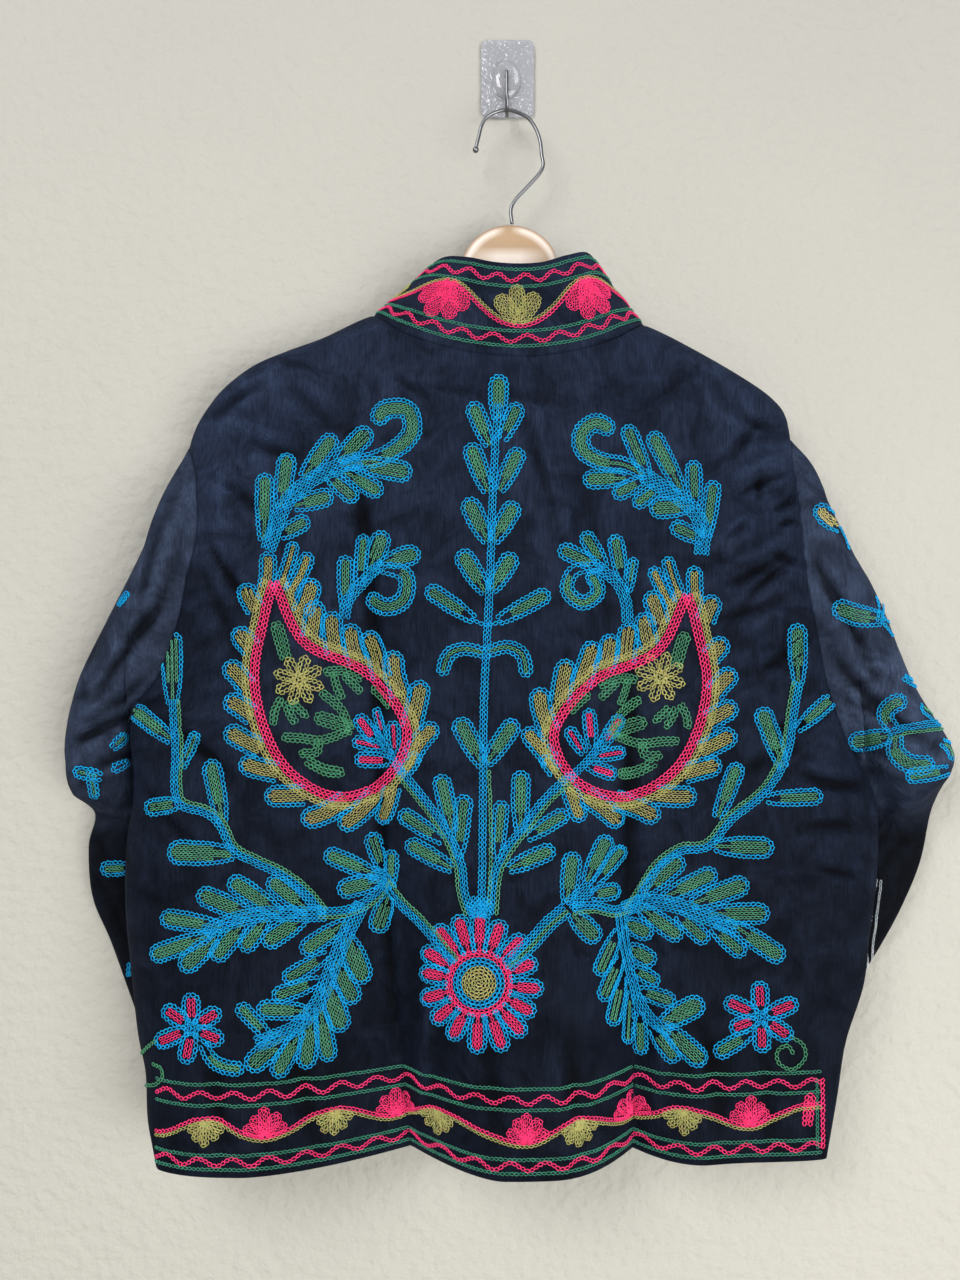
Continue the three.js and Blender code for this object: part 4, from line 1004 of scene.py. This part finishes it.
# ---------------------------------------------------------------- embroidery: sprays and branches
# Leafy sprays above the paisleys end in curls. Long branches spread to both sides below them, each with a
# small six-petalled flower near the hem's corner.
BUD_PETAL = 20.5
SPRAYS = [
    ("embroidery_left_sprays", {
        "leaves": [                         # tip, base, width
            ((414, 474), (355, 463), 24), ((384, 495), (344, 471), 21), ((358, 502), (328, 475), 20),
            ((335, 495), (294, 506), 22), ((311, 518), (280, 536), 20), ((372, 428), (338, 462), 24),
            ((336, 434), (303, 478), 22), ((288, 452), (281, 508), 22), ((265, 472), (264, 541), 21),
            ((346, 554), (345, 608), 19), ((364, 533), (359, 586), 17), ((385, 530), (370, 570), 23),
            ((422, 552), (386, 562), 23)],
        "curls": [                          # width, then its places
            (22, [(340, 466), (384, 456), (411, 434), (408, 411), (384, 411), (377, 427)]),
            (20, [(378, 567), (405, 575), (404, 599), (386, 607), (366, 595)])],
        "stems": [                          # colours across it, then its places
            ((T, T, T, T), [(268, 550), (284, 507), (306, 484), (340, 466), (362, 459)]),
            ((T, T, T), [(344, 618), (349, 600), (363, 582), (384, 563)])]}),
    ("embroidery_right_sprays", {
        "leaves": [
            ((625, 424), (648, 478), 20), ((650, 431), (682, 492), 21), ((693, 459), (695, 510), 19),
            ((714, 479), (706, 538), 19), ((581, 480), (626, 478), 22), ((611, 497), (643, 480), 19),
            ((632, 507), (659, 487), 18), ((647, 509), (690, 506), 24), ((669, 524), (702, 540), 20),
            ((557, 547), (602, 569), 20), ((582, 531), (605, 568), 19), ((614, 533), (622, 580), 19),
            ((634, 556), (628, 592), 13)],
        "curls": [
            (21, [(645, 476), (624, 465), (600, 461), (583, 450), (582, 433), (596, 423), (615, 433)]),
            (17, [(598, 567), (574, 571), (567, 590), (582, 603), (597, 593), (593, 579), (583, 580)])],
        "stems": [
            ((T, T, T, T), [(643, 475), (664, 489), (688, 505), (702, 528), (701, 555)]),
            ((T, T, T), [(598, 568), (616, 582), (625, 601), (627, 622)])]}),
    ("embroidery_left_branch", {
        "leaves": [
            ((172, 630), (173, 704), 24), ((131, 707), (172, 740), 21), ((198, 730), (182, 768), 14),
            ((143, 809), (181, 803), 20), ((210, 758), (223, 822), 22), ((166, 852), (234, 854), 27),
            ((267, 877), (309, 911), 23), ((228, 878), (281, 914), 23), ((196, 892), (252, 916), 24),
            ((159, 917), (222, 927), 22), ((149, 957), (210, 935), 22), ((180, 971), (216, 937), 24),
            ((212, 961), (244, 922), 23), ((241, 952), (267, 918), 21), ((261, 945), (306, 916), 24),
            ((323, 852), (377, 875), 21), ((370, 831), (384, 872), 20), ((392, 848), (391, 886), 17),
            ((336, 891), (381, 880), 23), ((375, 934), (389, 896), 24), ((365, 985), (347, 936), 27),
            ((356, 1005), (335, 962), 24), ((343, 1033), (327, 983), 26), ((329, 1063), (320, 1008), 22),
            ((305, 1070), (312, 1015), 23), ((274, 1078), (301, 1030), 22), ((246, 1070), (284, 1036), 25),
            ((300, 953), (346, 922), 22), ((282, 982), (328, 954), 20), ((271, 998), (320, 980), 20),
            ((255, 1009), (309, 1011), 22), ((237, 1003), (270, 1038), 18)],
        "curls": [
            (17, [(203, 1044), (213, 1060), (226, 1067), (246, 1069)])],
        "stems": [
            ((T, T, G), [(324, 912), (306, 891), (284, 874), (255, 860), (235, 849), (220, 822), (206, 811),
                (182, 803), (177, 785), (178, 755), (175, 700)]),
            ((T, T, T, T), [(326, 913), (306, 914), (284, 913), (255, 915), (228, 922), (205, 933)]),
            ((T, T, G), [(318, 913), (347, 911), (374, 897), (388, 878)]),
            ((T, T, T, T), [(362, 903), (350, 926), (341, 945), (330, 973), (317, 1003), (297, 1026),
                (276, 1036), (256, 1044)]),
            ((T, T, T, T), [(370, 874), (384, 878), (391, 890)]),
            ((G, T, T), [(386, 880), (394, 893), (404, 905), (420, 920), (440, 943), (455, 962)]),
            ((MOSS,), [(141, 1055), (148, 1047), (157, 1040)]),
            ((MOSS,), [(153, 1063), (162, 1068), (163, 1077), (156, 1084), (147, 1085)])],
        "bud": ((192, 1028),
                [(191, 991), (162, 1006), (222, 1009), (154, 1044), (225, 1042), (185, 1065)])}),
    ("embroidery_right_branch", {
        "leaves": [
            ((797, 622), (798, 684), 22), ((834, 696), (796, 730), 19), ((760, 706), (783, 768), 22),
            ((739, 761), (717, 818), 21), ((824, 796), (766, 799), 20), ((775, 848), (714, 846), 24),
            ((684, 856), (642, 893), 24), ((718, 871), (663, 898), 22), ((750, 882), (691, 904), 24),
            ((771, 913), (708, 914), 24), ((785, 960), (734, 925), 23), ((746, 956), (712, 927), 20),
            ((709, 943), (677, 914), 20), ((683, 939), (638, 906), 22), ((573, 850), (567, 904), 22),
            ((609, 834), (586, 882), 22), ((625, 845), (595, 883), 18), ((622, 889), (591, 895), 20),
            ((600, 942), (572, 914), 24), ((654, 936), (625, 922), 22), ((657, 964), (629, 947), 22),
            ((661, 984), (633, 968), 18), ((677, 1003), (639, 990), 20), ((705, 1000), (662, 1023), 26),
            ((706, 1065), (663, 1025), 24), ((678, 1063), (652, 1028), 20), ((641, 1056), (640, 1012), 18),
            ((627, 1045), (630, 990), 16), ((611, 1027), (622, 976), 19), ((601, 1002), (620, 957), 20),
            ((597, 977), (618, 930), 20), ((713, 1055), (750, 1034), 20)],
        "stems": [
            ((G, T, T), [(626, 911), (640, 893), (657, 866), (680, 849), (706, 845), (730, 818), (760, 794),
                (775, 775), (786, 750), (791, 716), (797, 682)]),
            ((T, T, T, T), [(622, 909), (640, 903), (662, 902), (688, 909), (712, 919), (736, 929)]),
            ((T, T, T, T), [(568, 906), (584, 892), (590, 884)]),
            ((T, T, G), [(572, 909), (594, 907), (614, 911), (630, 906)]),
            ((T, G, T, T), [(566, 909), (547, 925), (531, 943), (507, 965)]),
            ((T, T, T), [(619, 912), (623, 941), (630, 972), (639, 1000), (652, 1019), (670, 1033)]),
            ((MOSS,), [(790, 1036), (803, 1045), (804, 1058), (792, 1069), (779, 1063), (777, 1051),
                (787, 1045), (793, 1053)])],
        "bud": ((761, 1017),
                [(759, 979), (723, 999), (799, 1001), (728, 1030), (762, 1054), (793, 1039)])})]
for name, spray in SPRAYS:
    chart = Chart(on_back, ROW)
    leaves(chart, spray["leaves"])
    for width, points in spray.get("curls", []):
        leaf(chart, points, width, blunt=0.5)
    for colours, points in spray["stems"]:
        strand(chart, colours, points)
    if "bud" in spray:
        flower(chart, *spray["bud"], BUD_PETAL, PINK, TURQUOISE, TURQUOISE)
    embroidery.append(embroider(name, [chart]))

# ---------------------------------------------------------------- embroidery: hem band
# A 70 mm border runs all round the hem, over the back and both fronts: two zigzags between plain rows, and a
# waving vine with palmettes between them.
BAND_ROWS = [70.5, 54.5, 16.8, 6.2]         # mm above the hem
ZIGZAGS = [62, 11.6]
VINE_HEIGHT, VINE_SWING = 36, 7.5
ZIGZAG_PITCH, ZIGZAG_SWING = 27, 2.9
BAND_GAP = 2.9                              # mm, a row's width in a chart laid in millimetres
VINE_APART = 1.5                            # mm from the vine's middle to each of its two rows


def cloth_place(depth, out):
    """A chart in millimetres, x along the hem and z from it, laid on a panel's face."""
    def place(path):
        x, z, e = path[:, 0], HEM_Z + path[:, 1], 1.5
        slope_x = (depth(x + e, z) - depth(x - e, z)) / (2 * e)
        slope_z = (depth(x, z + e) - depth(x, z - e)) / (2 * e)
        normal = np.stack([-slope_x, np.ones(len(x)), -slope_z], -1) * out
        normal /= np.linalg.norm(normal, axis=1, keepdims=True)
        return np.stack([x, depth(x, z), z], -1), normal, np.ones(len(x), bool)
    return place


def band(chart, start, end, crests, first_up):
    """The border between two places: crests gives where the vine turns."""
    ride = np.arange(start, end, 1.0)
    for height in BAND_ROWS:
        chart.row(BAND_GREEN, np.stack([ride, np.full(len(ride), height)], -1), 1.05)
    for height in ZIGZAGS:
        beat = 2 * np.abs(2 * ((ride / ZIGZAG_PITCH) % 1) - 1) - 1
        chart.row(PINK, np.stack([ride, height + ZIGZAG_SWING * np.sin(beat * math.pi / 2)], -1), 1.25)
    knots = np.array(crests, float)
    phase = np.interp(ride, knots, np.arange(len(knots)))
    vine = VINE_HEIGHT + VINE_SWING * np.cos(phase * math.pi) * (1 if first_up else -1)
    path = np.stack([ride, vine], -1)
    side = sideways(path)
    chart.row(PINK, path + side * VINE_APART, 1.2, EDGE_LIFT)
    chart.row(OLIVE, path - side * VINE_APART, 1.0, EDGE_LIFT)
    for k, x in enumerate(crests):
        if start + 12 < x < end - 16:
            if (k % 2 == 0) == first_up:
                palmette(chart, (x, VINE_HEIGHT + VINE_SWING - 1), 20, -1, OLIVE, 5, 8)
            else:
                palmette(chart, (x, VINE_HEIGHT - VINE_SWING + 2), 22.5, 1, PINK, 5, 9.5)


HEM_LEFT, HEM_RIGHT = -281, 256


def seen_x(px):
    """Where on the hem a place of the frame falls."""
    x = np.arange(HEM_LEFT, HEM_RIGHT + 1, 1.0)
    y = back_face(x, np.full(len(x), HEM_Z + 35.0))
    return float(np.interp(px, FRAME_WIDTH / 2 + (x - EYE_MM[0]) * FOCAL / (y - EYE_MM[1]), x))


hem = Chart(cloth_place(back_face, -1), BAND_GAP)
CRESTS = (142, 205, 265, 334, 396, 437, 527, 579, 630, 683, 750, 805)
BAND_LEFT, BAND_RIGHT = 152, 822
band_end = seen_x(BAND_RIGHT)
band(hem, seen_x(BAND_LEFT), band_end, [seen_x(x) for x in CRESTS], False)
for off, colour, gauge in ((-4.5, BAND_GREEN, 1.0), (0.2, PINK, 1.45)):        # two rows close the band
    upright = np.stack([np.full(58, band_end + off), np.linspace(9, 65, 58)], -1)
    hem.row(colour, upright, gauge, EDGE_LIFT)
leaf(hem, [(band_end - 13, 28), (band_end - 10, 55)], 10, PINK, PINK, 0.8)
embroidery.append(embroider("embroidery_hem_back", [hem]))
front_hems = []
for start, end in ((-268, -9), (9, 244)):
    chart = Chart(cloth_place(front_face, 1), BAND_GAP)
    band(chart, start, end, np.linspace(start - 20, end + 20, 7), True)
    front_hems.append(chart)
embroidery.append(embroider("embroidery_hem_front", front_hems))

# ---------------------------------------------------------------- embroidery: collar
# The collar carries the hem's border at two thirds of its width. Palmettes hang from the vine and stand on it
# by turns, with a standing one at the centre back.
collar_run = lengths(collar_grid[COLLAR_UP // 2])
collar_mid = float(np.interp(COLLAR_ROUND / 2, np.arange(COLLAR_ROUND + 1), collar_run))


def on_collar(path):
    """A chart in millimetres: along the band from the centre back, and up it from the neck seam."""
    along = np.interp(collar_mid + path[:, 0], collar_run, np.arange(COLLAR_ROUND + 1))
    i = np.minimum(along.astype(int), COLLAR_ROUND - 1)
    up = np.clip(path[:, 1] / COLLAR_HIGH, 0, 1) * COLLAR_UP
    j = np.minimum(up.astype(int), COLLAR_UP - 1)
    corner, beside, above = collar_grid[j, i], collar_grid[j, i + 1], collar_grid[j + 1, i]
    u, v = (along - i)[:, None], (up - j)[:, None]
    spot = lerp(lerp(corner, beside, u), lerp(above, collar_grid[j + 1, i + 1], u), v)
    normal = np.cross(beside - corner, above - corner)
    normal /= np.linalg.norm(normal, axis=1, keepdims=True)
    outward = ((spot - [3, -30, 0]) * [1, 1, 0] * normal).sum(1)
    return spot, normal * np.sign(outward)[:, None], np.ones(len(path), bool)


COLLAR_ROWS = [67, 53.5, 19, 7.5]           # mm above the neck seam
COLLAR_ZIGZAGS = [(60.2, 27.5), (13.2, 22.7)]        # height and pitch
COLLAR_END, VINE_HALF = 4, 62               # mm that the band keeps from the collar's ends, and half a wave
band_chart = Chart(on_collar, BAND_GAP)
start, end = -collar_mid + COLLAR_END, collar_run[-1] - collar_mid - COLLAR_END
ride = np.arange(start, end, 1.0)
for height in COLLAR_ROWS:
    band_chart.row(BAND_GREEN, np.stack([ride, np.full(len(ride), height)], -1), 1.05)
for height, pitch in COLLAR_ZIGZAGS:
    swing = np.sin(ride / pitch * 2 * math.pi)
    band_chart.row(PINK, np.stack([ride, height + 2.7 * swing], -1), 1.2)
path = np.stack([ride, 37 - 13 * np.cos(ride / VINE_HALF * math.pi)], -1)
side = sideways(path)
band_chart.row(PINK, path - side * 1.4, 1.2, EDGE_LIFT)
band_chart.row(OLIVE, path + side * 1.4, 1.0, EDGE_LIFT)
for k in range(-3, 4):
    x = k * VINE_HALF
    if start + 14 < x < end - 14:
        if k % 2:
            palmette(band_chart, (x, 50), 33, -1, PINK, 4, 14)
        else:
            palmette(band_chart, (x, 26), 30, 1, OLIVE, 3, 14.5)
embroidery.append(embroider("embroidery_collar", [band_chart]))

# ---------------------------------------------------------------- embroidery: sleeves
# Smaller sprigs are scattered down the outside of each sleeve. A white selvedge shows at the seam of the
# right forearm, as two loose rows.
left_sleeve, right_sleeve = (Chart(sight(sleeve), ROW) for sleeve in sleeves)
LEFT_SPRIGS = [                             # tip, base, width
    ((72, 770), (102, 777), 16), ((96, 800), (90, 770), 13), ((110, 771), (128, 762), 12),
    ((128, 733), (112, 748), 14), ((130, 591), (119, 606), 9), ((99, 869), (132, 868), 18),
    ((131, 960), (129, 976), 8)]
leaves(left_sleeve, LEFT_SPRIGS)
RIGHT_SPRIGS = [                            # width, then the places from base to tip
    (21, [(840, 528), (826, 517), (815, 504)]), (24, [(881, 619), (856, 615), (831, 605)]),
    (11, [(881, 619), (889, 627), (896, 638)]), (20, [(893, 729), (885, 715), (892, 705), (908, 699)]),
    (23, [(889, 736), (868, 740), (847, 743)]), (22, [(896, 735), (896, 752), (911, 764), (936, 764)]),
    (18, [(943, 723), (932, 712), (919, 702)]), (14, [(941, 742), (950, 749), (953, 762)]),
    (18, [(948, 770), (926, 774), (904, 777)]), (10, [(903, 677), (919, 687)])]
for k, (width, points) in enumerate(RIGHT_SPRIGS):
    leaf(right_sleeve, points, width, LEAF_GREEN if k else YELLOW, blunt=0.6)
strand(right_sleeve, (TURQUOISE,), [(838, 526), (844, 538), (848, 550)])
strand(right_sleeve, (TURQUOISE, TURQUOISE), [(877, 596), (880, 608), (878, 622)])
strand(right_sleeve, (TURQUOISE, TURQUOISE, LEAF_GREEN), [(888, 735), (912, 728), (946, 725)], 1.0)
SELVEDGE = [[(876.5, 879), (872, 898), (870, 920), (866, 943), (866.5, 970), (864, 985)],
            [(881, 880), (878, 900), (875, 924), (872, 945), (871, 963)]]
for points in SELVEDGE:
    strand(right_sleeve, (WHITE,), points, 0.8)
embroidery.append(embroider("embroidery_sleeves", [left_sleeve, right_sleeve]))

# ---------------------------------------------------------------- hanger
# Moulded in two halves from a glossy champagne-coloured plastic. A thin reddish line of flash runs round the
# joint. A pale band inside the crown's rim and a pale patch low on it are painted reflections.
plastic, tree, shader = material("champagne_plastic", (0.38, 0.26, 0.165), 0.3, Coat_Weight=0.35,
                                 Coat_Roughness=0.08)
CROWN = (0.0014, 0.0, -0.1786)              # the middle of the crown's arc
JOINT = 0.026                               # metres from the wall to the joint of the two halves


def combine(first, second, way="MULTIPLY"):
    return node(tree, "ShaderNodeMath", [(0, first), (1, second)], operation=way).outputs[0]


def unsigned(value):
    return node(tree, "ShaderNodeMath", [(0, value)], operation="ABSOLUTE").outputs[0]


spot = node(tree, "ShaderNodeTexCoord").outputs["Object"]
split = node(tree, "ShaderNodeSeparateXYZ", [("Vector", spot)])
flow = noise(tree, spot, 30.0, 3.0)
joint = node(tree, "ShaderNodeMath", [(0, split.outputs["Y"])], operation="ADD")
joint.inputs[1].default_value = JOINT
line = fit(tree, unsigned(joint.outputs[0]), 0.001, 0.0022)
tone = blend(tree, flow, (0.35, 0.225, 0.13), (0.45, 0.305, 0.18))
from_crown = node(tree, "ShaderNodeVectorMath", [(0, spot)], operation="SUBTRACT")
from_crown.inputs[1].default_value = CROWN
level = node(tree, "ShaderNodeVectorMath", [(0, from_crown.outputs["Vector"])], operation="MULTIPLY")
level.inputs[1].default_value = (1, 0, 1)
away = node(tree, "ShaderNodeVectorMath", [(0, level.outputs["Vector"])], operation="LENGTH").outputs["Value"]
across = unsigned(split.outputs["X"])
# painted reflections: a pale band inside the crown's rim and a pale patch low on it
painted_rim_reflection = combine(fit(tree, away, 0.0325, 0.0375), fit(tree, away, 0.0415, 0.0385))
painted_rim_reflection = combine(painted_rim_reflection, fit(tree, across, 0.002, 0.012))
painted_low_reflection = combine(fit(tree, split.outputs["Z"], -0.156, -0.164), fit(tree, across, 0.036, 0.01))
tone_and_painted_reflections = blend(tree, combine(painted_rim_reflection, painted_low_reflection, "MAXIMUM"), tone, (0.74, 0.64, 0.56))
tree.links.new(blend(tree, line, (0.3, 0.07, 0.04), tone_and_painted_reflections), shader.inputs["Base Color"])
bump(tree, shader, flow, 0.12, 0.002)


def select_only(obj):
    bpy.ops.object.select_all(action="DESELECT")
    bpy.context.view_layer.objects.active = obj
    obj.select_set(True)


def smooth_copy(name, cad_node):
    """The node's form with its facets rounded off."""
    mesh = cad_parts[cad_node].data.copy()
    mesh.materials.clear()
    obj = bpy.data.objects.new(name, mesh)
    bpy.context.collection.objects.link(obj)
    select_only(obj)
    bpy.ops.object.mode_set(mode="EDIT")
    bpy.ops.mesh.select_all(action="SELECT")
    bpy.ops.mesh.remove_doubles(threshold=0.00002)
    bpy.ops.mesh.tris_convert_to_quads(face_threshold=math.radians(60), shape_threshold=math.radians(60))
    bpy.ops.object.mode_set(mode="OBJECT")
    rounded = obj.modifiers.new("rounded", "SUBSURF")
    rounded.levels = rounded.render_levels = 2
    bpy.ops.object.modifier_apply(modifier="rounded")
    bpy.ops.object.shade_smooth()
    return obj


hanger = smooth_copy("hanger_moulding", "hanger_body")
hanger.data.materials.append(plastic)
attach(hanger, "root")
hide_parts("hanger_body")

# ---------------------------------------------------------------- hanger wire
# A 3 mm zinc-plated steel rod, screwed into the crown and bent over the wall hook, with a ball at its tip.
# The drawn metal is a little dull in long patches.
zinc, tree, shader = material("zinc_plated_rod", (0.19, 0.195, 0.205), 0.28, 1.0)
drawn = noise(tree, node(tree, "ShaderNodeTexCoord").outputs["Object"], 180.0, 3.0)
tree.links.new(fit(tree, drawn, 0.0, 1.0, 0.2, 0.4), shader.inputs["Roughness"])
WIRE = [                                    # mm
    (3.1, -26, -134.6), (2.3, -26, -122.5), (6.5, -26, -114), (15, -26, -104.8), (26.5, -26, -92),
    (29.4, -26, -85), (28.3, -26, -78), (26.6, -26, -64.5), (22.4, -26, -53.5), (14.9, -26, -44.6),
    (0, -26, -39.2), (-14, -26, -42.4), (-21.3, -26, -49.6), (-25.5, -26, -64), (-27.2, -26, -71)]
ROD, ROD_SIDES = 0.0015, 16                 # the rod's radius in metres
BALL, BALL_AT = 0.0026, (-0.0274, -0.026, -0.0726)


def bent_rod(name, path):
    """A round rod bent smoothly through the given places, with closed ends."""
    points = np.array(path, float)
    steps = np.linalg.norm(np.diff(points, axis=0), axis=1) ** 0.5
    stretch = np.concatenate([[0], np.cumsum(steps)])
    line = follow(points, np.linspace(0, stretch[-1], len(path) * 8), stretch) / 1000
    along = np.gradient(line, axis=0)
    along /= np.linalg.norm(along, axis=1, keepdims=True)
    flat = np.array([0, 1, 0]) if np.ptp(points[:, 1]) < 1 else np.array([1, 0, 0])
    up = np.cross(along, flat)
    n = ROD_SIDES
    turn = (np.arange(n) / n * 2 * math.pi)[None, :, None]
    tube = line[:, None] + ROD * (np.cos(turn) * flat + np.sin(turn) * up[:, None])
    ends = [line[:1] - along[:1] * ROD * 0.5, line[-1:] + along[-1:] * ROD * 0.5]
    points = np.concatenate([tube.reshape(-1, 3), *ends])
    faces = []
    for j in range(len(line) - 1):
        this, after = j * n, (j + 1) * n
        faces += [(this + i, this + (i + 1) % n, after + (i + 1) % n, after + i) for i in range(n)]
    last = (len(line) - 1) * n
    faces += [(len(points) - 2, (i + 1) % n, i) for i in range(n)]
    faces += [(len(points) - 1, last + i, last + (i + 1) % n) for i in range(n)]
    mesh = bpy.data.meshes.new(name)
    mesh.from_pydata([tuple(p) for p in points], [], faces)
    obj = bpy.data.objects.new(name, mesh)
    bpy.context.collection.objects.link(obj)
    select_only(obj)
    bpy.ops.object.mode_set(mode="EDIT")
    bpy.ops.mesh.select_all(action="SELECT")
    bpy.ops.mesh.normals_make_consistent(inside=False)
    bpy.ops.object.mode_set(mode="OBJECT")
    bpy.ops.object.shade_smooth()
    return obj


wire = bent_rod("hanger_rod", WIRE)
bpy.ops.mesh.primitive_uv_sphere_add(segments=32, ring_count=16, radius=BALL, location=BALL_AT)
ball = bpy.context.object
bpy.ops.object.transform_apply(location=True)
bpy.ops.object.shade_smooth()
select_only(wire)
ball.select_set(True)
bpy.ops.object.join()
wire.data.materials.append(zinc)
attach(wire, "root")
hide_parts("hanger_wire")

# ---------------------------------------------------------------- wall plate, boss and hook
# A clear plastic plate with a hammered face, stuck flat on the wall, with rounded corners and a softened rim.
# Its smooth round boss holds a bent steel hook.
clear, tree, shader = material("clear_hammered_plastic", (0.72, 0.73, 0.78), 0.08, Transmission_Weight=0.72,
                               IOR=1.46)
spot = node(tree, "ShaderNodeTexCoord").outputs["Object"]
dimples = node(tree, "ShaderNodeTexVoronoi", [("Vector", spot)], feature="SMOOTH_F1", Scale=330.0)
bump(tree, shader, dimples.outputs["Distance"], 0.9, 0.0016)
PLATE, PLATE_CORNER, PLATE_RIM = (0.046, 0.002, 0.067), 0.006, 0.0007         # metres
bpy.ops.object.select_all(action="DESELECT")
bpy.ops.mesh.primitive_cube_add(size=1, location=(0, -PLATE[1] / 2, 0))
plate = bpy.context.object
plate.name = "hook_plate"
bpy.ops.transform.resize(value=PLATE)
bpy.ops.object.transform_apply(location=True, scale=True)
bpy.ops.object.mode_set(mode="EDIT")
bpy.ops.mesh.select_mode(type="EDGE")
bpy.ops.mesh.select_all(action="DESELECT")
bpy.ops.object.mode_set(mode="OBJECT")
for e in plate.data.edges:
    a, b = (plate.data.vertices[v].co for v in e.vertices)
    e.select = abs(a.y - b.y) > PLATE[1] / 2
bpy.ops.object.mode_set(mode="EDIT")
bpy.ops.mesh.bevel(offset=PLATE_CORNER, segments=10, affect="EDGES")
bpy.ops.object.mode_set(mode="OBJECT")
edge = plate.modifiers.new("soft_rim", "BEVEL")
edge.width = PLATE_RIM
edge.segments = 3
bpy.ops.object.modifier_apply(modifier="soft_rim")
bpy.ops.object.shade_smooth_by_angle(angle=math.radians(40))
plate.data.materials.append(clear)
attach(plate, "root")
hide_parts("wall_plate")

boss = smooth_copy("hook_socket", "hook_boss")
glassy, tree, shader = material("clear_smooth_plastic", (0.9, 0.9, 0.93), 0.06, Transmission_Weight=0.85,
                                IOR=1.49)
bump(tree, shader, noise(tree, node(tree, "ShaderNodeTexCoord").outputs["Object"], 60.0, 2.0), 0.15, 0.001)
boss.data.materials.append(glassy)
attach(boss, "root")
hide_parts("hook_boss")

HOOK = [                                    # mm
    (-1, -9.1, 3), (-1, -9.3, -12), (-1, -9.7, -26), (-1, -13, -35), (-1, -18.5, -41), (-1, -26, -42.8),
    (-1, -31.5, -40.5), (-1, -34.5, -35.5), (-1, -35.5, -31)]
steel_hook = bent_rod("steel_hook", HOOK)
steel_hook.data.materials.append(zinc)
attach(steel_hook, "root")
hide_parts("wall_hook")
